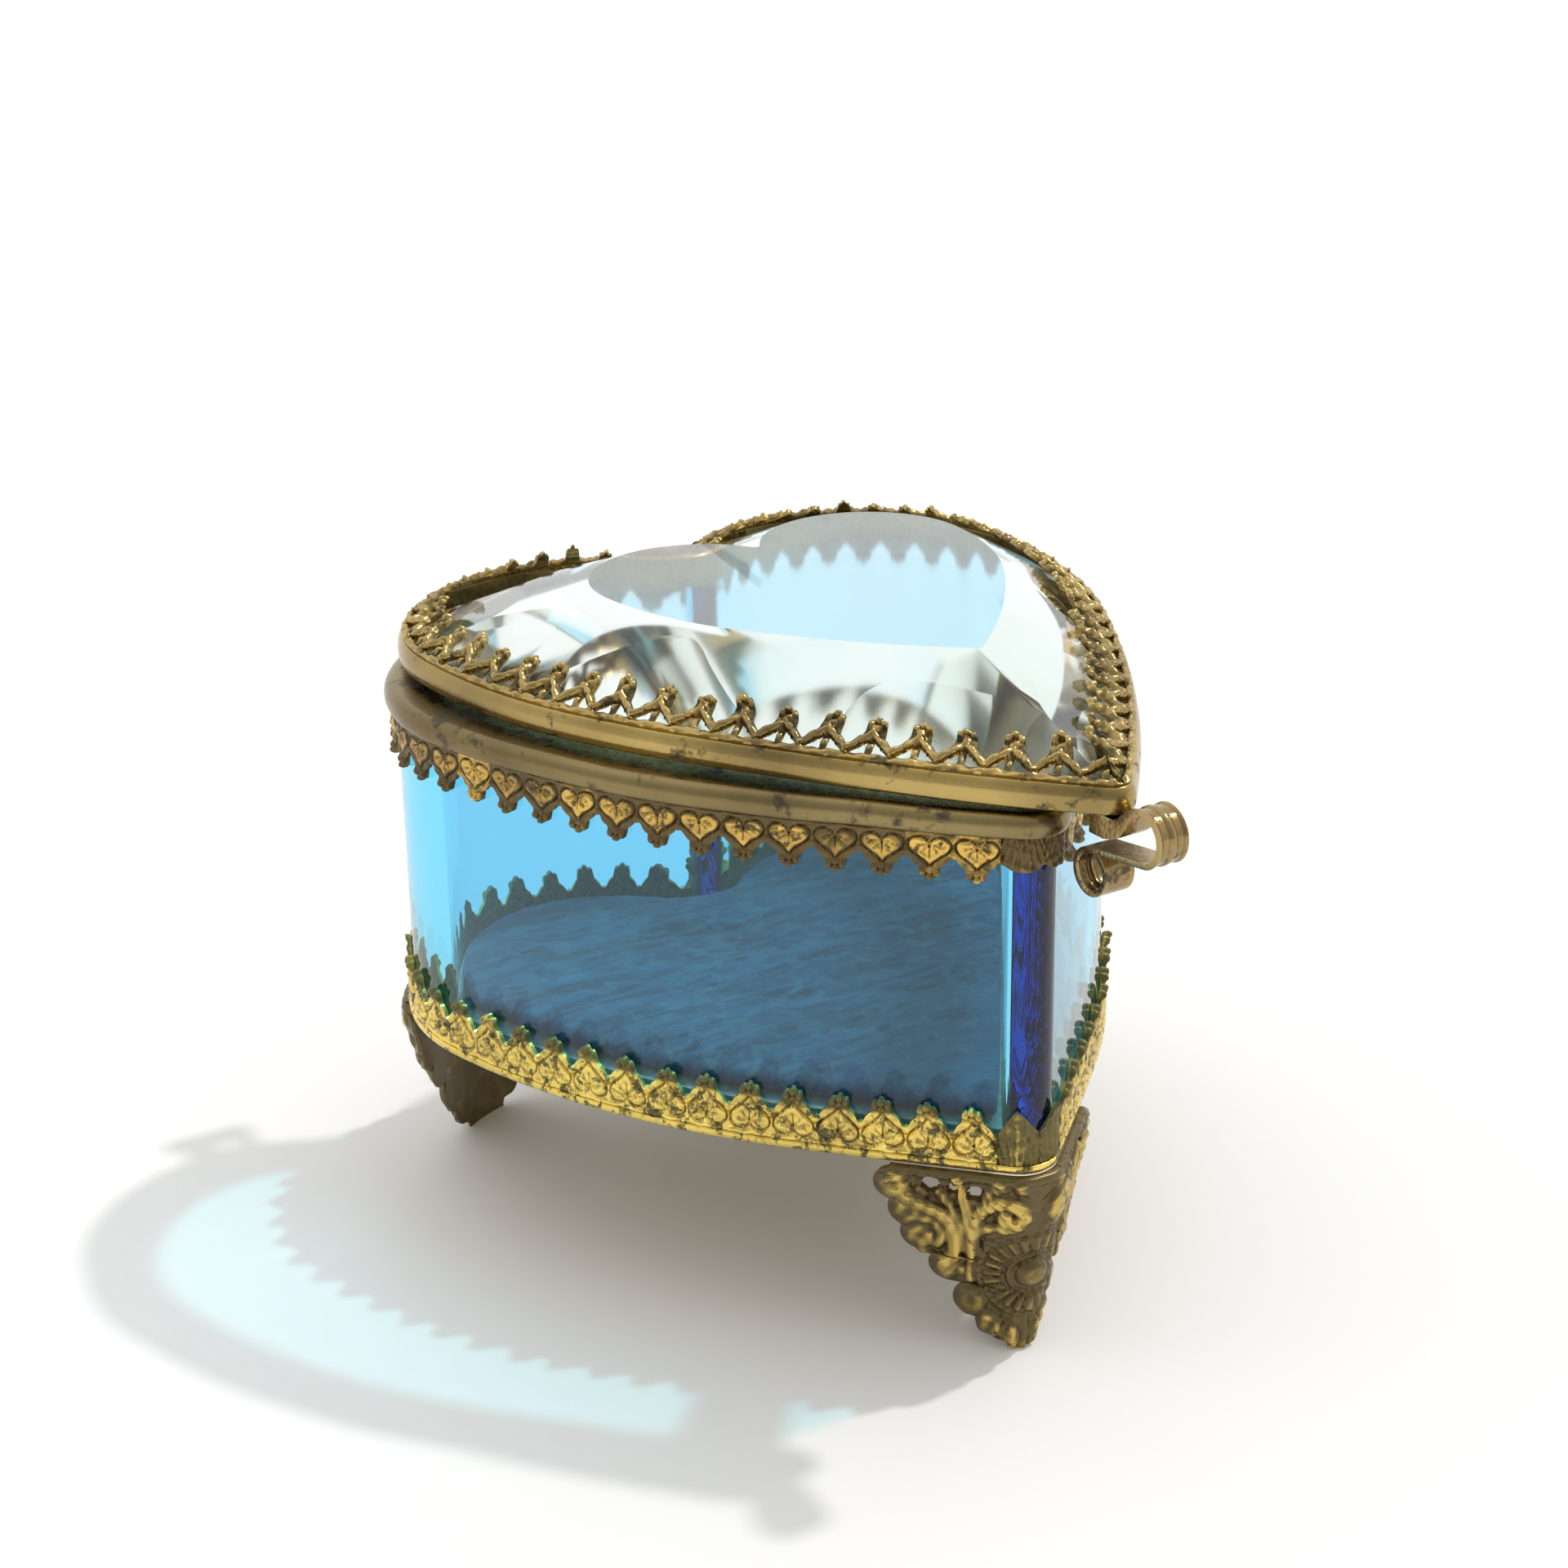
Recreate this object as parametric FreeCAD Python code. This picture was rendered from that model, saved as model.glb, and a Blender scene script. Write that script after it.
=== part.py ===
"""Heart-shaped trinket box: a blue glass heart in gilt brass mounts on three feet, with a hinged glass lid.

Millimetres, +Z up. The point of the heart and the catch face -Y, the cleft and the hinges +Y.
The lid sits a little askew on its hinges, so the catch stands beside the point of the body.
"""
import FreeCAD, Part
import math
import os

from FreeCAD import Vector

os.makedirs("parts", exist_ok=True)

# Heights above the table
MOUNT_BOTTOM = 21.2
GLASS_BOTTOM = 22.2
BODY_TOP = 59.4
LID_BOTTOM = 60.0
TABLE_TOP = 70.0

# Glass
WALL_THICKNESS = 4.2
WALL_INSET = 0.9
WALL_TOP = 58.2
RIM_INSET = 0.9
RIM_BOTTOM = 60.8
RIM_TOP = 62.2
FACET_DEPTH = 1.1
FACET_STEEPER = 4.0
FACET_ANGLES = (48, 64, 92, 126, 160)

# Sheet metal
STRIP = 0.55
CLEARANCE = 0.08
TOUCH = 0.02
PLATE = 0.8
LEDGE_WIDTH = 7.0
BEAD_HEIGHT = 2.6
BEAD_BULGE = 0.35
LIP_DEPTH = 1.2
FRAME_HEIGHT = 2.9
FRAME_WIDTH = 4.2

# Galleries, the pierced strips of hearts and points
TOOTH_PITCH = 4.65
LOWER_GALLERY_HEIGHT = 6.1
UPPER_GALLERY_HEIGHT = 5.0
BAND_SHARE = 0.64
LID_GALLERY_WIDTH = 5.6
LID_GALLERY_SLOPE = 33.0
LID_GALLERY_THICKNESS = 0.9
TOOTH_HALF = 0.75
TOOTH_TIP_HALF = 0.45

# Lining
BOARD_THICKNESS = 1.2
PAD_THICKNESS = 3.2
LINING_GAP = 0.5

# Hinges
HINGE_X = 17.0
AXIS_Y = 47.2
AXIS_Z = 59.7
BARREL_RADIUS = 1.5
PIN_RADIUS = 0.7
PIN_HEAD_RADIUS = 1.15
PIN_HEAD = 0.4
BORE_RADIUS = 0.75
KNUCKLE_LENGTH = 2.4
LID_KNUCKLE_LENGTH = 3.4
KNUCKLE_GAP = 0.1
LEAF_THICKNESS = 0.8

# Lid placing and catch
LID_SKEW = 2.9
CATCH_WIDTH = 4.0
CATCH_THICKNESS = 0.6
CATCH_START = 43.6
CATCH_RISE = 38.0
BEND_RADIUS = 1.6
LOOP_RADIUS = 2.7
LOOP_TURN = 172.0
CURL_TURN = 330.0
CURL_RADIUS = 2.2

# Feet: a stamped cartouche, its outline given by round lobes (along the wall, height, radius)
FOOT_PROUD = 0.6
FOOT_LEAN = 3.2
FOOT_PLATE = 0.85
REAR_FOOT_ANGLE = 62.0
REAR_FOOT_WIDTH = 0.95
FOOT_CUT_DEPTH = 9.0
ROSETTE_HEIGHT = 9.5
BOSS_RADIUS = 1.7
FOOT_LOBES = (
    (0.0, 7.4, 7.0),
    (2.6, 1.7, 1.9),
    (5.2, 3.0, 2.0),
    (7.2, 5.6, 2.2),
    (9.9, 9.6, 1.9),
    (12.6, 13.1, 2.0),
    (13.7, 15.9, 2.1),
    (15.2, 18.9, 2.0),
)
FOOT_BODY = ((0.0, 4.0), (6.4, 4.6), (8.8, 9.6), (12.0, 13.0), (14.2, 17.0), (15.4, 21.2), (0.0, 21.2))
FOOT_HOLES = ((6.7, 19.0, 0.75), (8.9, 19.3, 0.6), (11.2, 19.6, 0.9))

UP = Vector(0, 0, 1)


class Heart:
    """A heart outline of tangent arcs, symmetric about X = 0. Offset outlines keep the arcs' centres."""

    def __init__(self, lobe, lobe_radius, low, shoulder_radius, shoulder, side_radius,
                 tip_radius, cleft_radius):
        self.lobe = lobe
        self.lobe_radius = lobe_radius
        self.low = math.radians(low)
        self.shoulder_radius = shoulder_radius
        self.shoulder = math.radians(shoulder)
        self.side_radius = side_radius
        self.tip_radius = tip_radius
        self.cleft_radius = cleft_radius

    def arcs(self, offset):
        """Right half from cleft to tip: (centre x, centre y, radius, start angle, end angle)."""
        lobe_x, lobe_y = self.lobe
        lobe_radius = self.lobe_radius + offset
        cleft = max(self.cleft_radius - offset, 0.3)
        cleft_y = lobe_y + math.sqrt((lobe_radius + cleft) ** 2 - lobe_x ** 2)
        cleft_end = math.atan2(lobe_y - cleft_y, lobe_x)
        low, bend = -self.low, -self.low - self.shoulder
        reach = self.shoulder_radius - self.lobe_radius
        shoulder_x = lobe_x - reach * math.cos(low)
        shoulder_y = lobe_y - reach * math.sin(low)
        reach = self.side_radius - self.shoulder_radius
        side_x = shoulder_x - reach * math.cos(bend)
        side_y = shoulder_y - reach * math.sin(bend)
        tip = max(self.tip_radius + offset, 0.3)
        side_radius = self.side_radius + offset
        tip_y = side_y - math.sqrt((side_radius - tip) ** 2 - side_x ** 2)
        side_end = math.atan2(tip_y - side_y, -side_x)
        return [
            (0.0, cleft_y, cleft, -math.pi / 2, cleft_end),
            (lobe_x, lobe_y, lobe_radius, cleft_end + math.pi, low),
            (shoulder_x, shoulder_y, self.shoulder_radius + offset, low, bend),
            (side_x, side_y, side_radius, bend, side_end),
            (0.0, tip_y, tip, side_end, -math.pi / 2),
        ]

    def wire(self, offset, z):
        edges = []
        for mirror in (1, -1):
            for x, y, radius, start, end in self.arcs(offset):
                ends = [on_arc(x, y, radius, a, z, mirror) for a in (start, (start + end) / 2, end)]
                edges.append(Part.Arc(*ends).toShape())
        return Part.Wire(Part.__sortEdges__(edges))

    def solid(self, offset, low, high):
        return Part.Face(self.wire(offset, low)).extrude(Vector(0, 0, high - low))

    def ring(self, outer, inner, low, high):
        return self.solid(outer, low, high).cut(self.solid(inner, low - 1, high + 1))

    def tapered(self, low_offset, low, high_offset, high):
        return Part.makeLoft([self.wire(low_offset, low), self.wire(high_offset, high)], True, True)

    def tapered_ring(self, low_offset, low, high_offset, high, thickness):
        outer = self.tapered(low_offset, low, high_offset, high)
        return outer.cut(self.tapered(low_offset - thickness, low, high_offset - thickness, high))

    def stations(self, pitch, offset=0.0):
        """Evenly spaced places on both halves, as (point, outward angle), from half a step past the tip."""
        arcs = [(x, y, r, a, b, r * abs(a - b)) for x, y, r, a, b in reversed(self.arcs(offset))]
        half = sum(arc[5] for arc in arcs)
        count = round(half / pitch)
        found = []
        for index in range(count):
            left = half * (index + 0.5) / count
            for x, y, radius, start, end, length in arcs:
                if left <= length:
                    break
                left -= length
            angle = end + (start - end) * left / length
            outward = angle + math.pi if (x, y) == tuple(self.arcs(offset)[0][:2]) else angle
            for mirror in (1, -1):
                point = on_arc(x, y, radius, angle, 0.0, mirror)
                found.append((point, outward if mirror == 1 else math.pi - outward))
        return found, half / count

    def support(self, angle, offset):
        """Furthest reach of the outline from the origin in a direction."""
        places, _ = self.stations(0.5, offset)
        return max(p.x * math.cos(angle) + p.y * math.sin(angle) for p, _ in places)


def on_arc(x, y, radius, angle, z, mirror):
    return Vector(mirror * (x + radius * math.cos(angle)), y + radius * math.sin(angle), z)


BODY = Heart((17.0, 18.2), 23.0, 15, 84.0, 29, 500.0, 4.2, 1.2)
LID = Heart((17.0, 23.3), 21.0, 0, 60.0, 28, 200.0, 2.5, 1.2)
TABLE = Heart((10.6, 11.6), 11.5, 4, 34.0, 30, 90.0, 0.5, 0.6)


def box(x, y, z):
    """Box from its (low, high) pairs."""
    return Part.makeBox(x[1] - x[0], y[1] - y[0], z[1] - z[0], Vector(x[0], y[0], z[0]))


def joined(solids):
    """One solid from pieces that meet."""
    return solids[0].multiFuse(solids[1:]).removeSplitter()


def stack(heart, section):
    """Solid heart whose edge follows the (offset, z) points of a section."""
    return joined([heart.tapered(*low, *high) for low, high in zip(section, section[1:])])


def through_wall(points, origin, outward, depth):
    """Flat outline of (along, up) points, pushed through a wall along its outward direction."""
    across = Vector(-math.sin(outward), math.cos(outward), 0)
    normal = Vector(math.cos(outward), math.sin(outward), 0)
    corners = [origin + across * u + UP * v - normal * depth for u, v in points]
    return Part.Face(Part.makePolygon(corners + corners[:1])).extrude(normal * 2 * depth)


def gaps_between_teeth(heart, root, tip, depth):
    """Gaps of an upright gallery whose teeth run from height root to height tip."""
    places, pitch = heart.stations(TOOTH_PITCH)
    neck = tip - (tip - root) * 0.35
    beyond = tip + math.copysign(1.0, tip - root)
    cuts = []
    for point, outward in places:
        for side in (-1, 1):
            middle = side * pitch / 2
            gap = [(middle, root), (side * TOOTH_HALF, neck)]
            gap += [(side * TOOTH_TIP_HALF, beyond), (middle, beyond)]
            cuts.append(through_wall(gap, point, outward, depth))
    return cuts


# Body


def glass_wall():
    return BODY.ring(-WALL_INSET, -WALL_INSET - WALL_THICKNESS, GLASS_BOTTOM, WALL_TOP)


def lower_mount():
    """Flat ledge that the glass and the base plate stand on."""
    return BODY.ring(0.0, -LEDGE_WIDTH, MOUNT_BOTTOM, GLASS_BOTTOM - TOUCH)


def base_plate():
    inset = -WALL_INSET - WALL_THICKNESS - CLEARANCE
    return BODY.solid(inset, GLASS_BOTTOM, GLASS_BOTTOM + PLATE)


def lining_board():
    inset = -WALL_INSET - WALL_THICKNESS - LINING_GAP
    low = GLASS_BOTTOM + PLATE
    return BODY.solid(inset, low, low + BOARD_THICKNESS)


def lining_pad():
    inset = -WALL_INSET - WALL_THICKNESS - LINING_GAP
    low = GLASS_BOTTOM + PLATE + BOARD_THICKNESS
    return BODY.solid(inset, low, low + PAD_THICKNESS)


def upright_gallery(root, height):
    """Strip of hearts round the foot or the top of the glass, its points up or down from root."""
    inner = -WALL_INSET + CLEARANCE
    tip = root + height
    ring = BODY.ring(inner + STRIP, inner, min(root, tip), max(root, tip))
    return ring.cut(gaps_between_teeth(BODY, root + height * BAND_SHARE, tip, 1.6))


def lower_gallery():
    return upright_gallery(GLASS_BOTTOM, LOWER_GALLERY_HEIGHT)


def upper_gallery():
    return upright_gallery(BODY_TOP - BEAD_HEIGHT - TOUCH, -UPPER_GALLERY_HEIGHT)


def upper_mount():
    """Rolled bead that caps the glass, with a lip down the inside."""
    bottom = BODY_TOP - BEAD_HEIGHT
    section = [(-0.3, bottom), (BEAD_BULGE, bottom + 0.7), (BEAD_BULGE, bottom + 1.7), (-0.5, BODY_TOP)]
    inner = -WALL_INSET - WALL_THICKNESS - CLEARANCE
    bead = stack(BODY, section).cut(BODY.solid(inner - STRIP, bottom - 1, BODY_TOP + 1))
    bead = bead.cut(BODY.ring(-WALL_INSET + CLEARANCE, inner, bottom - 1, WALL_TOP + TOUCH))
    lip = BODY.ring(inner, inner - STRIP, bottom - LIP_DEPTH, bottom)
    return joined([bead, lip])


# Feet


def cartouche(origin, outward, side, width):
    """Half of the cartouche with its openings, pushed through the wall at one place."""
    across = Vector(-math.sin(outward), math.cos(outward), 0) * side
    normal = Vector(math.cos(outward), math.sin(outward), 0)
    pieces = [through_wall([(side * u * width, z) for u, z in FOOT_BODY], origin, outward, FOOT_CUT_DEPTH)]
    holes = []
    for group, rounds in ((pieces, FOOT_LOBES), (holes, FOOT_HOLES)):
        for u, z, radius in rounds:
            base = origin + across * u * width + UP * z - normal * FOOT_CUT_DEPTH
            group.append(Part.makeCylinder(radius, 2 * FOOT_CUT_DEPTH, base, normal))
    return joined(pieces).cut(holes)


def stamped_foot(place, outward, halves):
    """Leaning sheet in the shape of its two half outlines, with a round boss."""
    wall = BODY.tapered_ring(FOOT_PROUD - FOOT_LEAN, 0.0, FOOT_PROUD, MOUNT_BOTTOM - TOUCH, FOOT_PLATE)
    depth = FOOT_LEAN * (1 - ROSETTE_HEIGHT / MOUNT_BOTTOM) + BOSS_RADIUS * 0.6
    normal = Vector(math.cos(outward), math.sin(outward), 0)
    boss = Part.makeSphere(BOSS_RADIUS, place - normal * depth + UP * ROSETTE_HEIGHT)
    pieces = [wall.common(half) for half in halves]
    return joined(pieces + [boss])


def foot_front():
    """Foot folded round the point of the heart."""
    tip_arc = BODY.arcs(FOOT_PROUD)[4]
    tip = on_arc(*tip_arc[:3], -math.pi / 2, 0.0, 1)
    side_angle = BODY.arcs(0.0)[3][4]
    halves = []
    for mirror in (1, -1):
        outward = side_angle if mirror == 1 else math.pi - side_angle
        own_side = box(sorted((0.0, mirror * 30.0)), (-60, 0), (-1, MOUNT_BOTTOM + 1))
        halves.append(cartouche(tip, outward, mirror, 1.0).common(own_side))
    return stamped_foot(tip, -math.pi / 2, halves)


def foot_rear(mirror):
    """Same stamping bent to the curve of a lobe."""
    angle = math.radians(REAR_FOOT_ANGLE)
    place = on_arc(*BODY.lobe, BODY.lobe_radius + FOOT_PROUD, angle, 0.0, mirror)
    outward = angle if mirror == 1 else math.pi - angle
    halves = [cartouche(place, outward, side, REAR_FOOT_WIDTH) for side in (1, -1)]
    return stamped_foot(place, outward, halves)


# Hinges


def barrel(radius, start, length):
    return Part.makeCylinder(radius, length, Vector(start, AXIS_Y, AXIS_Z), Vector(1, 0, 0))


def knuckle(start, length):
    return barrel(BARREL_RADIUS, start, length).cut(barrel(BORE_RADIUS, start - 1, length + 2))


def hinge_spans(mirror):
    """Starts of the three knuckles of one hinge, low X first, as (start, length)."""
    first = mirror * HINGE_X - LID_KNUCKLE_LENGTH / 2 - KNUCKLE_GAP - KNUCKLE_LENGTH
    second = first + KNUCKLE_LENGTH + KNUCKLE_GAP
    third = second + LID_KNUCKLE_LENGTH + KNUCKLE_GAP
    return (first, KNUCKLE_LENGTH), (second, LID_KNUCKLE_LENGTH), (third, KNUCKLE_LENGTH)


def hinge_body(mirror):
    """Leaf soldered to the back of the bead, with the two outer knuckles."""
    outer, _, last = hinge_spans(mirror)
    back = BODY.lobe[1] + BODY.lobe_radius + BEAD_BULGE + TOUCH
    arm = (AXIS_Z - BARREL_RADIUS, AXIS_Z - BARREL_RADIUS + LEAF_THICKNESS)
    width = (outer[0], last[0] + last[1])
    pieces = [box(width, (back, back + LEAF_THICKNESS), (BODY_TOP - 4.0, arm[1]))]
    bore = barrel(BORE_RADIUS, width[0] - 1, width[1] - width[0] + 2)
    for start, length in (outer, last):
        pieces.append(box((start, start + length), (back, AXIS_Y), arm))
        pieces.append(barrel(BARREL_RADIUS, start, length))
    return joined(pieces).cut(bore)


def hinge_lid(mirror):
    """Arm soldered to the back of the lid frame, with the middle knuckle."""
    start, length = hinge_spans(mirror)[1]
    centre = skewed(Part.Vertex(Vector(mirror * LID.lobe[0], LID.lobe[1], 0))).Point
    back = centre.y + LID.lobe_radius + TOUCH
    arm = (AXIS_Z + BARREL_RADIUS - LEAF_THICKNESS, AXIS_Z + BARREL_RADIUS)
    pieces = [box((start, start + length), (back, AXIS_Y), arm), barrel(BARREL_RADIUS, start, length)]
    return joined(pieces).cut(barrel(BORE_RADIUS, start - 1, length + 2))


def hinge_pin(mirror):
    """Pin with a flat head at each end."""
    first, _, last = hinge_spans(mirror)
    start, end = first[0] - 0.05, last[0] + last[1] + 0.05
    heads = [barrel(PIN_HEAD_RADIUS, place, PIN_HEAD) for place in (start - PIN_HEAD, end)]
    shank = barrel(PIN_RADIUS, start - PIN_HEAD / 2, end - start + PIN_HEAD)
    return joined([shank] + heads)


# Lid


def skewed(shape):
    """Turns a lid piece about the middle of its back edge, the way the lid sits on its hinges."""
    shape.rotate(Vector(0, LID.lobe[1] + LID.lobe_radius, 0), UP, LID_SKEW)
    return shape


def lid_frame():
    """Rounded band round the rim of the lid glass, with a lip below it."""
    rise = [(-0.5, 0.0), (0.0, 0.7), (0.0, 1.9), (-0.6, FRAME_HEIGHT)]
    shell = stack(LID, [(offset, LID_BOTTOM + z) for offset, z in rise])
    seat = LID.solid(-RIM_INSET + CLEARANCE, RIM_BOTTOM - TOUCH, TABLE_TOP)
    return skewed(shell.cut(seat).cut(LID.solid(-FRAME_WIDTH, LID_BOTTOM - 1, TABLE_TOP)))


def facet_cut(angle):
    """Half space above one ground facet, which looks outwards at an angle."""
    reach = LID.support(angle, -RIM_INSET)
    margin = reach - TABLE.support(angle, 0.0)
    slope = math.degrees(math.atan2(TABLE_TOP - RIM_TOP, margin)) + FACET_STEEPER
    block = Part.makeBox(120, 200, 60, Vector(-100, -100, 0))
    block.rotate(Vector(0, 0, 0), Vector(0, 1, 0), slope)
    block.translate(Vector(reach, 0, RIM_TOP - FACET_DEPTH))
    block.rotate(Vector(0, 0, 0), UP, math.degrees(angle))
    return block


def lid_glass():
    """Thick heart with a flat table, one bevel all round and flat facets ground into the bevel."""
    bevel = Part.makeLoft([LID.wire(-RIM_INSET, RIM_TOP), TABLE.wire(0.0, TABLE_TOP)], True, True)
    glass = LID.solid(-RIM_INSET, RIM_BOTTOM, RIM_TOP).fuse(bevel)
    for degrees in FACET_ANGLES:
        for mirror in (1, -1):
            glass = glass.cut(facet_cut(math.radians(-90 + mirror * degrees)))
    return skewed(glass.removeSplitter())


def lid_gallery():
    """Strip that lies inwards over the bevel, with its teeth towards the middle of the lid."""
    low = LID_BOTTOM + FRAME_HEIGHT + TOUCH
    rise = LID_GALLERY_WIDTH * math.tan(math.radians(LID_GALLERY_SLOPE))
    root = -0.6
    ring = LID.tapered_ring(root, low, root - LID_GALLERY_WIDTH, low + rise, LID_GALLERY_THICKNESS)
    places, pitch = LID.stations(TOOTH_PITCH)
    half_pitch = pitch * 0.45
    neck = LID_GALLERY_WIDTH * BAND_SHARE
    cuts = {1: [], -1: []}
    for point, outward in places:
        across = Vector(-math.sin(outward), math.cos(outward), 0)
        inward = Vector(-math.cos(outward), -math.sin(outward), 0)
        for side in (-1, 1):
            gap = [(side * half_pitch, neck), (side * TOOTH_HALF, LID_GALLERY_WIDTH - 0.8)]
            gap += [(side * u, LID_GALLERY_WIDTH + 3) for u in (TOOTH_TIP_HALF, half_pitch)]
            corners = [point + across * u + inward * v + UP * (low - 1) for u, v in gap]
            outline = Part.Face(Part.makePolygon(corners + corners[:1]))
            cuts[math.copysign(1, point.x)].append(outline.extrude(UP * 6))
    halves = []
    for mirror in (1, -1):
        own_side = box(sorted((0.0, mirror * 60.0)), (-60, 60), (low - 1, low + 6))
        halves.append(ring.common(own_side).cut(cuts[mirror]))
    return skewed(joined(halves))


def lid_catch():
    """Brass strip soldered under the point of the lid, bent into an open loop and a tight curl."""
    start = Vector(0, -CATCH_START, LID_BOTTOM - TOUCH - CATCH_THICKNESS / 2)
    heading = 0.0
    path = ((3.0, 0.0, 0.0), (0.0, CATCH_RISE, BEND_RADIUS), (2.5, 0.0, 0.0))
    path += ((0.0, -CATCH_RISE - LOOP_TURN, LOOP_RADIUS), (8.0, 0.0, 0.0), (0.0, CURL_TURN, CURL_RADIUS))
    pieces = []
    for length, turn, radius in path:
        piece, start, heading = bent_strip(start, heading, length, turn, radius)
        pieces.append(piece)
    return skewed(joined(pieces))


def bent_strip(start, heading, length, turn, radius):
    """One straight or one bend of the strip, from a place and heading in the lid's middle plane."""
    angle = math.radians(heading)
    forward = Vector(0, -math.cos(angle), math.sin(angle))
    up = Vector(0, math.sin(angle), math.cos(angle))
    half = Vector(CATCH_WIDTH / 2, 0, 0)
    thick = up * (CATCH_THICKNESS / 2)
    corners = [start - half - thick, start + half - thick, start + half + thick, start - half + thick]
    section = Part.Face(Part.makePolygon(corners + corners[:1]))
    if not turn:
        return section.extrude(forward * length), start + forward * length, heading
    centre = start + up * math.copysign(radius, turn)
    piece = section.revolve(centre, Vector(-1, 0, 0), turn)
    end_angle = math.radians(heading + turn)
    end_up = Vector(0, math.sin(end_angle), math.cos(end_angle))
    return piece, centre - end_up * math.copysign(radius, turn), heading + turn


NODES = {
    "glass_wall": glass_wall,
    "lower_mount": lower_mount,
    "base_plate": base_plate,
    "lining_board": lining_board,
    "lining_pad": lining_pad,
    "lower_gallery": lower_gallery,
    "upper_gallery": upper_gallery,
    "upper_mount": upper_mount,
    "foot_front": foot_front,
    "foot_rear_right": lambda: foot_rear(1),
    "foot_rear_left": lambda: foot_rear(-1),
    "hinge_body_right": lambda: hinge_body(1),
    "hinge_body_left": lambda: hinge_body(-1),
    "hinge_lid_right": lambda: hinge_lid(1),
    "hinge_lid_left": lambda: hinge_lid(-1),
    "hinge_pin_right": lambda: hinge_pin(1),
    "hinge_pin_left": lambda: hinge_pin(-1),
    "lid_frame": lid_frame,
    "lid_glass": lid_glass,
    "lid_gallery": lid_gallery,
    "lid_catch": lid_catch,
}


def main():
    shapes = {name: make() for name, make in NODES.items()}
    extent = Part.makeCompound(list(shapes.values())).optimalBoundingBox()
    move = Vector(-(extent.XMin + extent.XMax) / 2, -(extent.YMin + extent.YMax) / 2, -extent.ZMin)
    for name, shape in shapes.items():
        shape.translate(move)
        shape.exportStep(f"parts/{name}.step")
        low_high = shape.optimalBoundingBox()
        print(name, len(shape.Solids), shape.isValid(), round(shape.Volume, 1), low_high)
    print("moved by", move, "hinge axis at y", AXIS_Y + move.y, "z", AXIS_Z + move.z)


main()
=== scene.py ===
import math

import bmesh
import bpy
import numpy as np
from mathutils import Matrix, Vector, noise


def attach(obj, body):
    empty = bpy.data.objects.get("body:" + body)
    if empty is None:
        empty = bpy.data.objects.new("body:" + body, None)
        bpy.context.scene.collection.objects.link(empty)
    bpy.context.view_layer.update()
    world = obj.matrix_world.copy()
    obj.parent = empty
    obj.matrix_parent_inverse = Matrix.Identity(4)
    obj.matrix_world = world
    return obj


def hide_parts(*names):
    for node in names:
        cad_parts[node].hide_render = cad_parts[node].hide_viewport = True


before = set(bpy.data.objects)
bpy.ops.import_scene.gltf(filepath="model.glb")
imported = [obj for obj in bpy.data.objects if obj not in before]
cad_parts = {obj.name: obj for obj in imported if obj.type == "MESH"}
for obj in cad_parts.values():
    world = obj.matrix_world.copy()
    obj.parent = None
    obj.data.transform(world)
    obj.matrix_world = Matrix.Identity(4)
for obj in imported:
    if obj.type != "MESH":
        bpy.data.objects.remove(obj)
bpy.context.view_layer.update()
# the same unevenness on each run
noise.seed_set(7)

MM = 0.001
# the frame stands this many millimetres from the lengths used here
SHIFT = np.array([0.0, 2.7462, 0.0])
# heights of the case and the lid in millimetres
MOUNT_BOTTOM = 21.2
GLASS_BOTTOM = 22.2
BODY_TOP = 59.4
LID_BOTTOM = 60.0
# the lid sits turned a little on its case
SKEW = math.radians(2.9)
# teeth of the galleries: distance between two, the height they are drawn at, and more than there are
PITCH = 4.65
TOOTH_HEIGHT = 6.1
MOST_TEETH = 80
# the tooth on each side that is a plain leaf, counted from the point
SIDE_LEAF = 18


# ---------------- outline


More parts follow.
